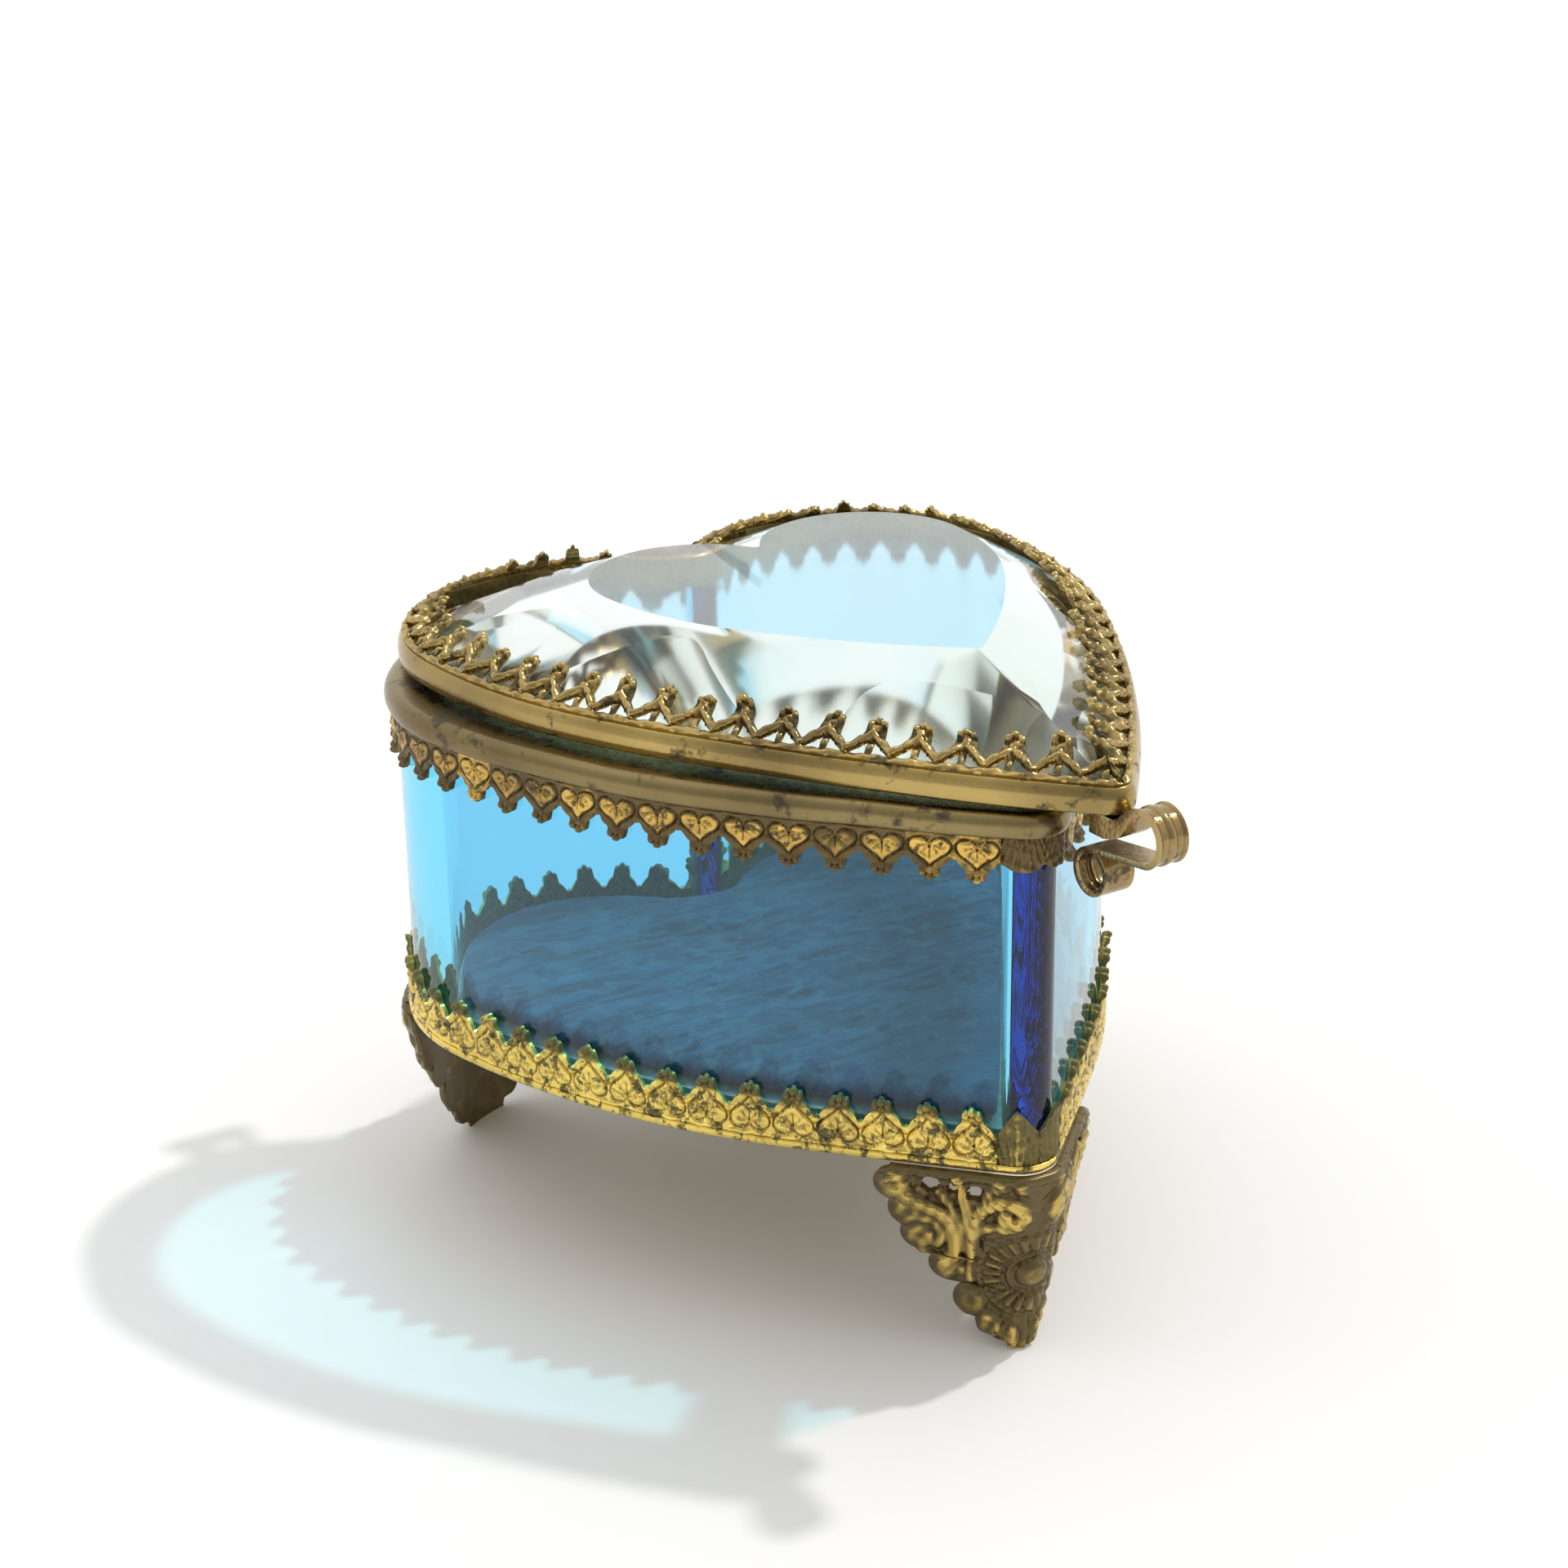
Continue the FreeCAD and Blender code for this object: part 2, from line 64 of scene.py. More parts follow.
class Heart:
    """Heart outline made of arcs, in millimetres; the right half and its mirror image."""

    SMALLEST_RADIUS = 0.3

    def __init__(self, lobe, lobe_radius, low, shoulder_radius, shoulder, side_radius, tip_radius,
                 cleft_radius):
        self.lobe = lobe
        self.lobe_radius = lobe_radius
        self.low = math.radians(low)
        self.shoulder_radius = shoulder_radius
        self.shoulder = math.radians(shoulder)
        self.side_radius = side_radius
        self.tip_radius = tip_radius
        self.cleft_radius = cleft_radius

    def arcs(self, offset):
        """Arcs of the right half from cleft to tip: centre, radius, start and end angle, and side."""
        lx, ly = self.lobe
        lr = self.lobe_radius + offset
        cleft = max(self.cleft_radius - offset, self.SMALLEST_RADIUS)
        cy = ly + math.sqrt((lr + cleft) ** 2 - lx**2)
        cleft_end = math.atan2(ly - cy, lx)
        low, bend = -self.low, -self.low - self.shoulder
        reach = self.shoulder_radius - self.lobe_radius
        sx, sy = lx - reach * math.cos(low), ly - reach * math.sin(low)
        reach = self.side_radius - self.shoulder_radius
        ex, ey = sx - reach * math.cos(bend), sy - reach * math.sin(bend)
        tip = max(self.tip_radius + offset, self.SMALLEST_RADIUS)
        er = self.side_radius + offset
        ty = ey - math.sqrt((er - tip) ** 2 - ex**2)
        end = math.atan2(ty - ey, -ex)
        return [
            (0.0, cy, cleft, -math.pi / 2, cleft_end, -1),
            (lx, ly, lr, cleft_end + math.pi, low, 1),
            (sx, sy, self.shoulder_radius + offset, low, bend, 1),
            (ex, ey, er, bend, end, 1),
            (0.0, ty, tip, end, -math.pi / 2, 1),
        ]

    def half(self, offset=0.0, step=0.5, counts=None):
        """Points and outward normals of the right half from tip to cleft; same count at any offset."""
        if counts is None:
            arcs = reversed(self.arcs(0.0))
            counts = [max(4, math.ceil(r * abs(a - b) / step)) for _, _, r, a, b, _ in arcs]
        points, normals = [], []
        for (x, y, r, a, b, side), count in zip(reversed(self.arcs(offset)), counts):
            t = np.linspace(0, 1, count, endpoint=False)
            angle = b + (a - b) * t
            points.append(np.stack([x + r * np.cos(angle), y + r * np.sin(angle)], 1))
            normals.append(side * np.stack([np.cos(angle), np.sin(angle)], 1))
        x, y, r, a, b, _ = self.arcs(offset)[0]
        points.append(np.array([[0.0, y - r]]))
        normals.append(np.array([[0.0, 1.0]]))
        p, n = np.vstack(points), np.vstack(normals)
        p[0, 0], n[0] = 0.0, (0.0, -1.0)
        return p, n

    def loop(self, offset=0.0, step=0.5, counts=None):
        """Whole closed outline, tip first, up the right side and back down the left."""
        p, n = self.half(offset, step, counts)
        mirror = np.array([-1.0, 1.0])
        return np.vstack([p, (p * mirror)[-2:0:-1]]), np.vstack([n, (n * mirror)[-2:0:-1]])

    def along(self, s):
        """Points and normals of the right half at distances s from the tip."""
        p, n = self.half(0.0, 0.1)
        length = np.concatenate([[0], np.cumsum(np.linalg.norm(np.diff(p, axis=0), axis=1))])
        at = [np.interp(s, length, c) for c in (*p.T, *n.T)]
        normal = np.stack(at[2:], -1)
        normal /= np.linalg.norm(normal, axis=-1, keepdims=True)
        return np.stack(at[:2], -1), normal

    def half_length(self):
        p, _ = self.half(0.0, 0.1)
        return float(np.linalg.norm(np.diff(p, axis=0), axis=1).sum())


BODY = Heart((17.0, 18.2), 23.0, 15, 84.0, 29, 500.0, 4.2, 1.2)
LID = Heart((17.0, 23.3), 21.0, 0, 60.0, 28, 200.0, 2.5, 1.2)
TABLE = Heart((10.6, 11.6), 11.5, 4, 34.0, 30, 90.0, 0.5, 0.6)


# ---------------- mesh helpers

WOBBLE_SCALE = 0.12


def placed(xyz, lid=False):
    """Model millimetres to metres in the shared frame; lid pieces turn with the lid's skew."""
    q = np.array(xyz, float)
    if lid:
        back = LID.lobe[1] + LID.lobe_radius
        x, y = q[..., 0].copy(), q[..., 1] - back
        q[..., 0] = x * math.cos(SKEW) - y * math.sin(SKEW)
        q[..., 1] = x * math.sin(SKEW) + y * math.cos(SKEW) + back
    return (q + SHIFT) * MM


def stack_rings(bm, rings):
    """Closed tube from (outline, z) rings of equal count; gives its bottom and top faces."""
    loops = [[bm.verts.new((x, y, z)) for x, y in outline] for outline, z in rings]
    n = len(loops[0])
    for low, high in zip(loops, loops[1:]):
        for i in range(n):
            bm.faces.new((low[i], low[(i + 1) % n], high[(i + 1) % n], high[i]))
    top = bm.faces.new(loops[-1])
    bottom = bm.faces.new(loops[0][::-1])
    return bottom, top


def grid_faces(nu, nv, closed_u=False, closed_v=False, start=0, flip=False):
    """Quads of a grid of nu rows of nv points, the first point at index start."""
    u = np.arange(nu if closed_u else nu - 1)
    v = np.arange(nv if closed_v else nv - 1)
    a, b = np.meshgrid(u, v, indexing="ij")
    a1, b1 = (a + 1) % nu, (b + 1) % nv
    f = np.stack([a * nv + b, a1 * nv + b, a1 * nv + b1, a * nv + b1], -1).reshape(-1, 4) + start
    return f[:, ::-1] if flip else f


def edge_walls(padded, start):
    """Faces between a front and a back sheet wherever kept cells end; padded has one more cell all round."""
    nu, nv = padded.shape[0] - 1, padded.shape[1] - 1
    back = nu * nv
    walls = []
    along_u = padded[1:-1, :-1] != padded[1:-1, 1:]
    along_v = padded[:-1, 1:-1] != padded[1:, 1:-1]
    for step, ends in ((nv, along_u), (1, along_v)):
        i, j = np.nonzero(ends)
        a = start + i * nv + j
        walls += list(np.stack([a, a + step, a + step + back, a + back], -1))
    return walls


def linked(name, bm, material):
    """Object in the scene made from a finished bmesh."""
    mesh = bpy.data.meshes.new(name)
    bm.to_mesh(mesh)
    bm.free()
    mesh.materials.append(material)
    obj = bpy.data.objects.new(name, mesh)
    bpy.context.scene.collection.objects.link(obj)
    return obj


def make_object(name, verts, faces, material, body, replaces, sharp=40.0, merge=2e-6, tarnish_and_shade=None):
    """Mesh object that rides on a CAD body; the last argument is how dark each vertex is painted, by tarnish
    and by painted shade in hollows.
    """
    mesh = bpy.data.meshes.new(name)
    points = [tuple(v) for v in np.asarray(verts).reshape(-1, 3)]
    mesh.from_pydata(points, [], [tuple(map(int, f)) for f in faces])
    if tarnish_and_shade is not None:
        layer = mesh.attributes.new("tarnish_and_shade", "FLOAT", "POINT")
        layer.data.foreach_set("value", np.ravel(tarnish_and_shade).astype(np.float32))
    bm = bmesh.new()
    bm.from_mesh(mesh)
    if merge:
        bmesh.ops.remove_doubles(bm, verts=bm.verts, dist=merge)
    bmesh.ops.recalc_face_normals(bm, faces=bm.faces)
    bpy.data.meshes.remove(mesh)
    obj = linked(name, bm, material)
    obj.data.shade_smooth()
    obj.data.set_sharp_from_angle(angle=math.radians(sharp))
    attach(obj, body)
    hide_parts(*replaces)


def rounded(section, radius, steps=3):
    """Closed section polygon with every corner rounded, by less than half of its shorter edge."""
    pts = [np.array(p, float) for p in section]
    out = []
    for i, p in enumerate(pts):
        a, b = pts[i - 1] - p, pts[(i + 1) % len(pts)] - p
        la, lb = np.linalg.norm(a), np.linalg.norm(b)
        r = min(radius, 0.45 * min(la, lb))
        start, end = p + a / la * r, p + b / lb * r
        for k in range(steps + 1):
            t = k / steps
            out.append((1 - t) ** 2 * start + 2 * t * (1 - t) * p + t**2 * end)
    return out


def raised(section, height):
    """Section of (offset, z) points lifted to a height."""
    return [(offset, z + height) for offset, z in section]


def sweep(name, heart, section, material, body, replaces, lid=False, wobble=0.0):
    """Closed section of (offset, z) points carried round the heart; wobble makes it uneven."""
    rows = []
    for offset, z in section:
        p, _ = heart.loop(offset)
        rows.append(np.column_stack([p, np.full(len(p), z)]))
    v = np.stack(rows, 1)
    if wobble:
        for point in v.reshape(-1, 3):
            point += np.array(noise.noise_vector(Vector(point) * WOBBLE_SCALE)) * wobble
    faces = grid_faces(v.shape[0], v.shape[1], True, True)
    make_object(name, placed(v, lid), faces, material, body, replaces)


# ---------------- materials


def new_material(name):
    m = bpy.data.materials.new(name)
    m.use_nodes = True
    nt = m.node_tree
    return m, nt, nt.nodes["Principled BSDF"]


def fill(nt, n, inputs):
    """Link each input of a node to an output, or give it a value."""
    for k, v in inputs.items():
        if hasattr(v, "is_output"):
            nt.links.new(v, n.inputs[k])
        else:
            n.inputs[k].default_value = v


def node(nt, kind, inputs=None, **props):
    n = nt.nodes.new(kind)
    for k, v in props.items():
        setattr(n, k, v)
    fill(nt, n, inputs or {})
    return n


def ramp(nt, fac, stops):
    r = node(nt, "ShaderNodeValToRGB", {"Fac": fac})
    cr = r.color_ramp
    while len(cr.elements) < len(stops):
        cr.elements.new(0.5)
    for e, (pos, col) in zip(cr.elements, stops):
        e.position = pos
        e.color = (*col, 1) if len(col) == 3 else (col[0],) * 3 + (1,)
    return r.outputs["Color"]


def noise_tex(nt, scale, detail=4.0, rough=0.55, distortion=0.0, offset=0.0, coord=None):
    if coord is None:
        coord = node(nt, "ShaderNodeTexCoord").outputs["Object"]
    if offset:
        away = (offset, offset * 0.7, offset * 1.3)
        coord = node(nt, "ShaderNodeVectorMath", {0: coord, 1: away}, operation="ADD").outputs[0]
    inputs = {"Vector": coord, "Scale": scale, "Detail": detail, "Roughness": rough, "Distortion": distortion}
    return node(nt, "ShaderNodeTexNoise", inputs).outputs["Fac"]


def mix(nt, fac, a, b):
    colours = {6 + i: (*v, 1) if isinstance(v, tuple) else v for i, v in enumerate((a, b))}
    return node(nt, "ShaderNodeMix", {0: fac, **colours}, data_type="RGBA").outputs[2]


def math_node(nt, op, a, b=None, clamp=False):
    inputs = {0: a}
    if b is not None:
        inputs[1] = b
    return node(nt, "ShaderNodeMath", inputs, operation=op, use_clamp=clamp).outputs[0]


def brass(name, bright, dull, patina, spots=0.5, rough=(0.22, 0.5), patina_scale=260.0, bump=0.12, edge=0.6):
    """Gilt or aged brass: ridges rubbed bright with a painted highlight, patina and painted shade in hollows,
    patina blotches, fine pitting.
    """
    m, nt, bsdf = new_material(name)
    large = noise_tex(nt, patina_scale, 5.0, 0.62, 0.4)
    fine = noise_tex(nt, patina_scale * 5.0, 4.0, 0.6, 0.0, 0.31)
    broad = noise_tex(nt, 45.0, 3.0, 0.5, 0.3, 0.77)
    tone = mix(nt, ramp(nt, broad, [(0.35, (0,)), (0.68, (1,))]), bright, dull)
    # hollows are painted dark, as patina and painted shade; ridges are painted lighter, as rubbed metal and
    # painted highlight
    pointy = node(nt, "ShaderNodeNewGeometry").outputs["Pointiness"]
    hollow_patina_and_shade = ramp(nt, pointy, [(0.44, (1,)), (0.505, (0,))])
    ridge_rub_and_highlight = ramp(nt, pointy, [(0.50, (0,)), (0.60, (1,))])
    # blotches of patina; more spots lower the level at which they start
    level = 0.16 * (1 - spots)
    speckle = math_node(nt, "ADD", large, math_node(nt, "MULTIPLY", fine, 0.35))
    blotch = ramp(nt, speckle, [(0.66 + level, (0,)), (0.76 + level, (1,))])
    dark = math_node(nt, "MAXIMUM", math_node(nt, "MULTIPLY", hollow_patina_and_shade, 0.75), blotch, clamp=True)
    # tarnish and painted shade set on the mesh, its border made ragged by the large noise
    tarnish_and_shade = node(nt, "ShaderNodeAttribute", attribute_name="tarnish_and_shade").outputs["Fac"]
    shift = math_node(nt, "MULTIPLY", math_node(nt, "SUBTRACT", large, 0.5), 1.1)
    ragged = math_node(nt, "ADD", tarnish_and_shade, shift)
    dark = math_node(nt, "MAXIMUM", dark, ramp(nt, ragged, [(0.30, (0,)), (0.78, (0.95,))]), clamp=True)
    # the edge argument sets how strongly ridges are painted lighter, as rubbed metal and painted highlight
    polished_and_highlit = tuple(min(1.0, c * 1.25) for c in bright)
    rubbed_and_highlit = mix(nt, math_node(nt, "MULTIPLY", ridge_rub_and_highlight, edge), tone, polished_and_highlit)
    colour = mix(nt, math_node(nt, "MULTIPLY", dark, 0.92), rubbed_and_highlit, patina)
    metal = ramp(nt, dark, [(0.2, (1,)), (0.9, (0.55,))])
    grain = math_node(nt, "MULTIPLY", fine, 0.6)
    dullness = math_node(nt, "ADD", grain, math_node(nt, "MULTIPLY", dark, 0.5))
    limits = {"From Min": 0.2, "From Max": 0.8, "To Min": rough[0], "To Max": rough[1]}
    roughness = node(nt, "ShaderNodeMapRange", {"Value": dullness, **limits}).outputs[0]
    pits = math_node(nt, "ADD", fine, math_node(nt, "MULTIPLY", large, 1.5))
    normal = node(nt, "ShaderNodeBump", {"Strength": bump, "Distance": 0.0001, "Height": pits}).outputs[0]
    fill(nt, bsdf, {"Base Color": colour, "Metallic": metal, "Roughness": roughness, "Normal": normal})
    return m


def glass(name, skin, tint, density, wave_scale=40.0, wave=0.0, roughness=0.0):
    """Glass coloured by its thickness and a little at its skin; shadow rays pass straight through it."""
    m, nt, bsdf = new_material(name)
    fill(nt, bsdf, {"Base Color": (*skin, 1), "Transmission Weight": 1.0, "Roughness": roughness, "IOR": 1.5})
    if wave:
        h = noise_tex(nt, wave_scale, 2.0, 0.5, 0.6)
        ripple = node(nt, "ShaderNodeBump", {"Strength": wave, "Distance": 0.0004, "Height": h})
        fill(nt, bsdf, {"Normal": ripple.outputs[0]})
    clear = node(nt, "ShaderNodeBsdfTransparent", {"Color": (0.96, 0.96, 0.96, 1)})
    shadow = node(nt, "ShaderNodeLightPath").outputs["Is Shadow Ray"]
    mixer = node(nt, "ShaderNodeMixShader", {0: shadow, 1: bsdf.outputs[0], 2: clear.outputs[0]})
    vol = node(nt, "ShaderNodeVolumeAbsorption", {"Color": (*tint, 1), "Density": density})
    fill(nt, nt.nodes["Material Output"], {"Surface": mixer.outputs[0], "Volume": vol.outputs[0]})
    return m


GILT = brass("gilt_brass", (0.90, 0.66, 0.16), (0.66, 0.46, 0.12), (0.07, 0.062, 0.028), spots=0.9,
             rough=(0.12, 0.42), patina_scale=700.0, bump=0.35)
GILT_DIM = brass("gilt_brass_dim", (0.76, 0.50, 0.12), (0.44, 0.28, 0.085), (0.075, 0.054, 0.025), spots=0.85,
                 rough=(0.14, 0.42), patina_scale=620.0)
AGED = brass("aged_brass", (0.29, 0.228, 0.10), (0.16, 0.118, 0.056), (0.06, 0.045, 0.03), spots=0.38,
             rough=(0.24, 0.5), patina_scale=230.0, bump=0.2, edge=0.4)
FOOT_BRASS = brass("foot_brass", (0.60, 0.43, 0.12), (0.24, 0.17, 0.065), (0.075, 0.054, 0.024), spots=0.6,
                   rough=(0.10, 0.34), patina_scale=420.0)
LID_BRASS = brass("lid_brass", (0.50, 0.365, 0.13), (0.18, 0.132, 0.058), (0.06, 0.046, 0.024), spots=0.38,
                  rough=(0.2, 0.45), patina_scale=320.0)
CATCH_BRASS = brass("catch_brass", (0.44, 0.33, 0.15), (0.26, 0.17, 0.07), (0.07, 0.055, 0.03), spots=0.55,
                    rough=(0.14, 0.4), patina_scale=420.0, bump=0.3)
STEEL = brass("pin_steel", (0.42, 0.40, 0.37), (0.30, 0.28, 0.26), (0.08, 0.06, 0.045), spots=0.2)
BLUE = glass("blue_glass", (0.70, 0.84, 0.985), (0.13, 0.885, 0.98), 150.0, wave_scale=60.0, wave=0.08)
CLEAR = glass("clear_glass", (1.0, 1.0, 1.0), (0.62, 0.80, 0.70), 8.0, roughness=0.055)


def silk_material():
    """Crushed blue silk plush: slanting streaks, soft clouds and a fine nap."""
    m, nt, bsdf = new_material("silk_plush")
    coord = node(nt, "ShaderNodeTexCoord").outputs["Object"]
    slant = {"Rotation": (0, 0, math.radians(-32)), "Scale": (1, 5.5, 1)}
    turned = node(nt, "ShaderNodeMapping", {"Vector": coord, **slant}).outputs[0]
    streak = noise_tex(nt, 70.0, 6.0, 0.65, 1.2, coord=turned)
    cloud = noise_tex(nt, 40.0, 5.0, 0.6, 0.5, 0.4)
    fibre = noise_tex(nt, 2600.0, 3.0, 0.6, 0.0, 0.2)
    bands = ramp(nt, streak, [(0.36, (0,)), (0.64, (1,))])
    base = mix(nt, bands, (0.002, 0.015, 0.032), (0.018, 0.11, 0.20))
    base = mix(nt, ramp(nt, cloud, [(0.45, (0,)), (0.7, (0.6,))]), base, (0.035, 0.14, 0.21))
    mottle = noise_tex(nt, 420.0, 3.0, 0.6, 0.8, 0.9)
    base = mix(nt, ramp(nt, mottle, [(0.46, (0,)), (0.66, (0.6,))]), base, (0.045, 0.18, 0.235))
    base = mix(nt, math_node(nt, "MULTIPLY", fibre, 0.35), base, (0.004, 0.02, 0.04))
    nap = math_node(nt, "ADD", fibre, math_node(nt, "MULTIPLY", streak, 2.0))
    normal = node(nt, "ShaderNodeBump", {"Strength": 0.5, "Distance": 0.0003, "Height": nap}).outputs[0]
    fill(nt, bsdf, {"Base Color": base, "Roughness": 0.8, "Sheen Weight": 0.08, "Sheen Roughness": 0.4,
                    "Normal": normal})
    return m


SILK = silk_material()


def card_material():
    m, nt, bsdf = new_material("lining_card")
    n = noise_tex(nt, 900.0)
    colour = ramp(nt, n, [(0.3, (0.30, 0.26, 0.20)), (0.7, (0.48, 0.43, 0.34))])
    fill(nt, bsdf, {"Base Color": colour, "Roughness": 0.85})
    return m


CARD = card_material()


# ---------------- galleries


def heart_curve(width, low, high):
    """Small heart with its point at height high and its lobes at height low."""
    t = np.linspace(0, 2 * np.pi, 160)
    x = 16 * np.sin(t) ** 3
    y = 13 * np.cos(t) - 5 * np.cos(2 * t) - 2 * np.cos(3 * t) - np.cos(4 * t)
    x *= width / 2 / np.abs(x).max()
    y = (y.max() - y) / (y.max() - y.min())
    return np.stack([x, low + y * (high - low)], 1)


def distance_to(curve, u, v):
    """Distance from each point to the nearest point of a curve."""
    d = np.hypot(u[..., None] - curve[:, 0], v[..., None] - curve[:, 1])
    return d.min(-1)


def bump_at(u, v, cu, cv, ru, rv, height):
    """Round bump with its middle at (cu, cv) and the radii ru and rv."""
    d = ((u - cu) / ru) ** 2 + ((v - cv) / rv) ** 2
    return height * np.sqrt(np.clip(1 - d, 0, 1))


# places across one tooth, from its middle to the border with the next
HALF_COLUMNS = np.array([
    0, 0.14, 0.26, 0.34, 0.42, 0.52, 0.62, 0.74, 0.86, 0.93, 1.0, 1.05, 1.10, 1.2, 1.36, 1.52, 1.68, 1.84,
    1.98, 2.1, 2.2, 2.27, PITCH / 2,
])
COLUMNS = np.concatenate([-HALF_COLUMNS[:0:-1], HALF_COLUMNS])


def tooth_top(u, height):
    """Top edge of one tooth, for a strip of the given full height."""
    at = [0, 0.14, 0.26, 0.34, 0.42, 0.62, 0.86, 0.93, 1.05, 1.10, 1.36, 1.68, 1.98, 2.1, PITCH / 2]
    top = [6.1, 6.08, 5.9, 5.65, 5.6, 5.7, 5.55, 5.3, 4.7, 4.3, 4.1, 3.75, 3.2, 3.05, 3.2]
    return np.interp(np.abs(u), at, top) * height / TOOTH_HEIGHT


def arch_top(u, height):
    """Top edge of a tooth that is only an arch with a finial."""
    at = [0, 0.14, 0.26, 0.34, 0.42, 0.62, 0.86, 0.93, 1.05, 1.2, PITCH / 2]
    top = [6.1, 6.08, 5.9, 5.65, 5.6, 5.7, 5.5, 5.2, 4.5, 3.1, 1.75]
    return np.interp(np.abs(u), at, top) * height / TOOTH_HEIGHT


HEART_CURVE = heart_curve(4.75, 0.4, 4.75)
HEART_MIDDLE = 2.1
# middle of the five-petalled motif, and the angle and length of each petal's vein
FLOWER_MIDDLE = 1.35
PETALS = ((-1.25, 1.2), (-0.62, 1.3), (0.0, 1.6), (0.62, 1.3), (1.25, 1.2))


def inside_heart(u, w):
    """How far inside the small heart a point lies, against its radius there."""
    rays = HEART_CURVE - np.array([0.0, HEART_MIDDLE])
    angle = np.arctan2(rays[:, 1], rays[:, 0])
    order = np.argsort(angle)
    toward = np.arctan2(w - HEART_MIDDLE, u)
    reach = np.interp(toward, angle[order], np.hypot(*rays[order].T), period=2 * np.pi)
    return reach - np.hypot(u, w - HEART_MIDDLE)


def heart_relief(u, v, height):
    """Cushion heart inside a groove, a five-petalled motif and a lumpy finial."""
    w = v * TOOTH_HEIGHT / height
    depth = inside_heart(u, w)
    n = 0.20 + 0.14 * np.sqrt(np.clip(depth / 1.4, 0, 1))
    n -= 0.28 * np.exp(-(((depth - 0.24) / 0.13) ** 2))
    for angle, length in PETALS:
        t = np.linspace(0.3, 1, 10)
        vein = np.stack([np.sin(angle) * length * t, FLOWER_MIDDLE + np.cos(angle) * length * t], 1)
        n -= 0.20 * np.exp(-((distance_to(vein, u, w) / 0.13) ** 2))
    n += bump_at(u, w, 0, FLOWER_MIDDLE, 0.30, 0.30, 0.14)
    # bead along the root
    n += 0.10 * np.exp(-(((w - 0.2) / 0.2) ** 2))
    # finial
    n += bump_at(u, w, 0, 5.6, 0.45, 0.5, 0.46) + bump_at(u, w, 0.7, 5.1, 0.40, 0.5, 0.42)
    n += bump_at(u, w, -0.7, 5.1, 0.40, 0.5, 0.42) + bump_at(u, w, 0, 4.75, 0.45, 0.4, 0.30)
    # bead between two teeth
    n += bump_at(np.abs(u), w, PITCH / 2, 2.75, 0.4, 0.5, 0.20)
    return n


def gold_bands(u, v, height, n):
    """Darkness of the lower gallery: tarnished finials, and grooves darkened as painted shade."""
    w = v * TOOTH_HEIGHT / height
    return np.clip((w - 3.9) / 0.9, 0, 1) * 0.85 + 0.45 * np.clip(1 - n / 0.17, 0, 1) + 0.10


def gold_hearts(u, v, height, n):
    """Darkness of the upper gallery: tarnish leaves only the middles of the hearts bright, and grooves get
    painted shade.
    """
    middle = np.clip((inside_heart(u, v * TOOTH_HEIGHT / height) - 0.35) / 0.3, 0, 1)
    return 0.92 - 0.50 * middle + 0.6 * np.clip(1 - n / 0.19, 0, 1)


def bright_ridges(u, v, height, n):
    """Darkness of the lid gallery: dark tarnish, with raised ridges painted lighter as rubbed metal and
    painted highlight.
    """
    return 0.85 - 1.0 * np.clip(n / 0.40, 0, 1)


# plain leaves: places across a tooth, the stem, and the heights of the top edge at those places
LEAF_AT = (-PITCH / 2, -1.5, -0.5, 0.35, 0.8, 1.6, PITCH / 2)
LEAF_STEM = 0.3
POINTED = (3.4, 4.3, 5.5, 6.2, 5.7, 4.5, 3.2)
BLUNT = (3.3, 3.9, 4.2, 4.1, 4.2, 3.8, 3.3)


def leaf_relief(u, v):
    """Ribs of a plain leaf that fan out from its stem."""
    across = u - LEAF_STEM
    ribs = 0.20 * np.clip(1 - np.abs(across) / 1.9, 0, 1) + 0.09 * np.cos(7.0 * across / (0.6 + 0.15 * v))
    ribs += 0.07 * np.sin(4.1 * u + 2.0 * v) * np.sin(5.3 * v - 2.3 * u)
    return ribs + 0.06


def teeth_along(count, real, first):
    """Places across the tooth, distances from the point and tooth numbers of all columns on one side."""
    u_all, s_all, unit = [], [], []
    for i in range(count):
        cols = COLUMNS if i == count - 1 else COLUMNS[:-1]
        u_all.append(cols)
        s_all.append((i + 0.5) * real + cols * real / PITCH)
        unit.append(np.full(len(cols), i + first))
    return map(np.concatenate, (u_all, s_all, unit))


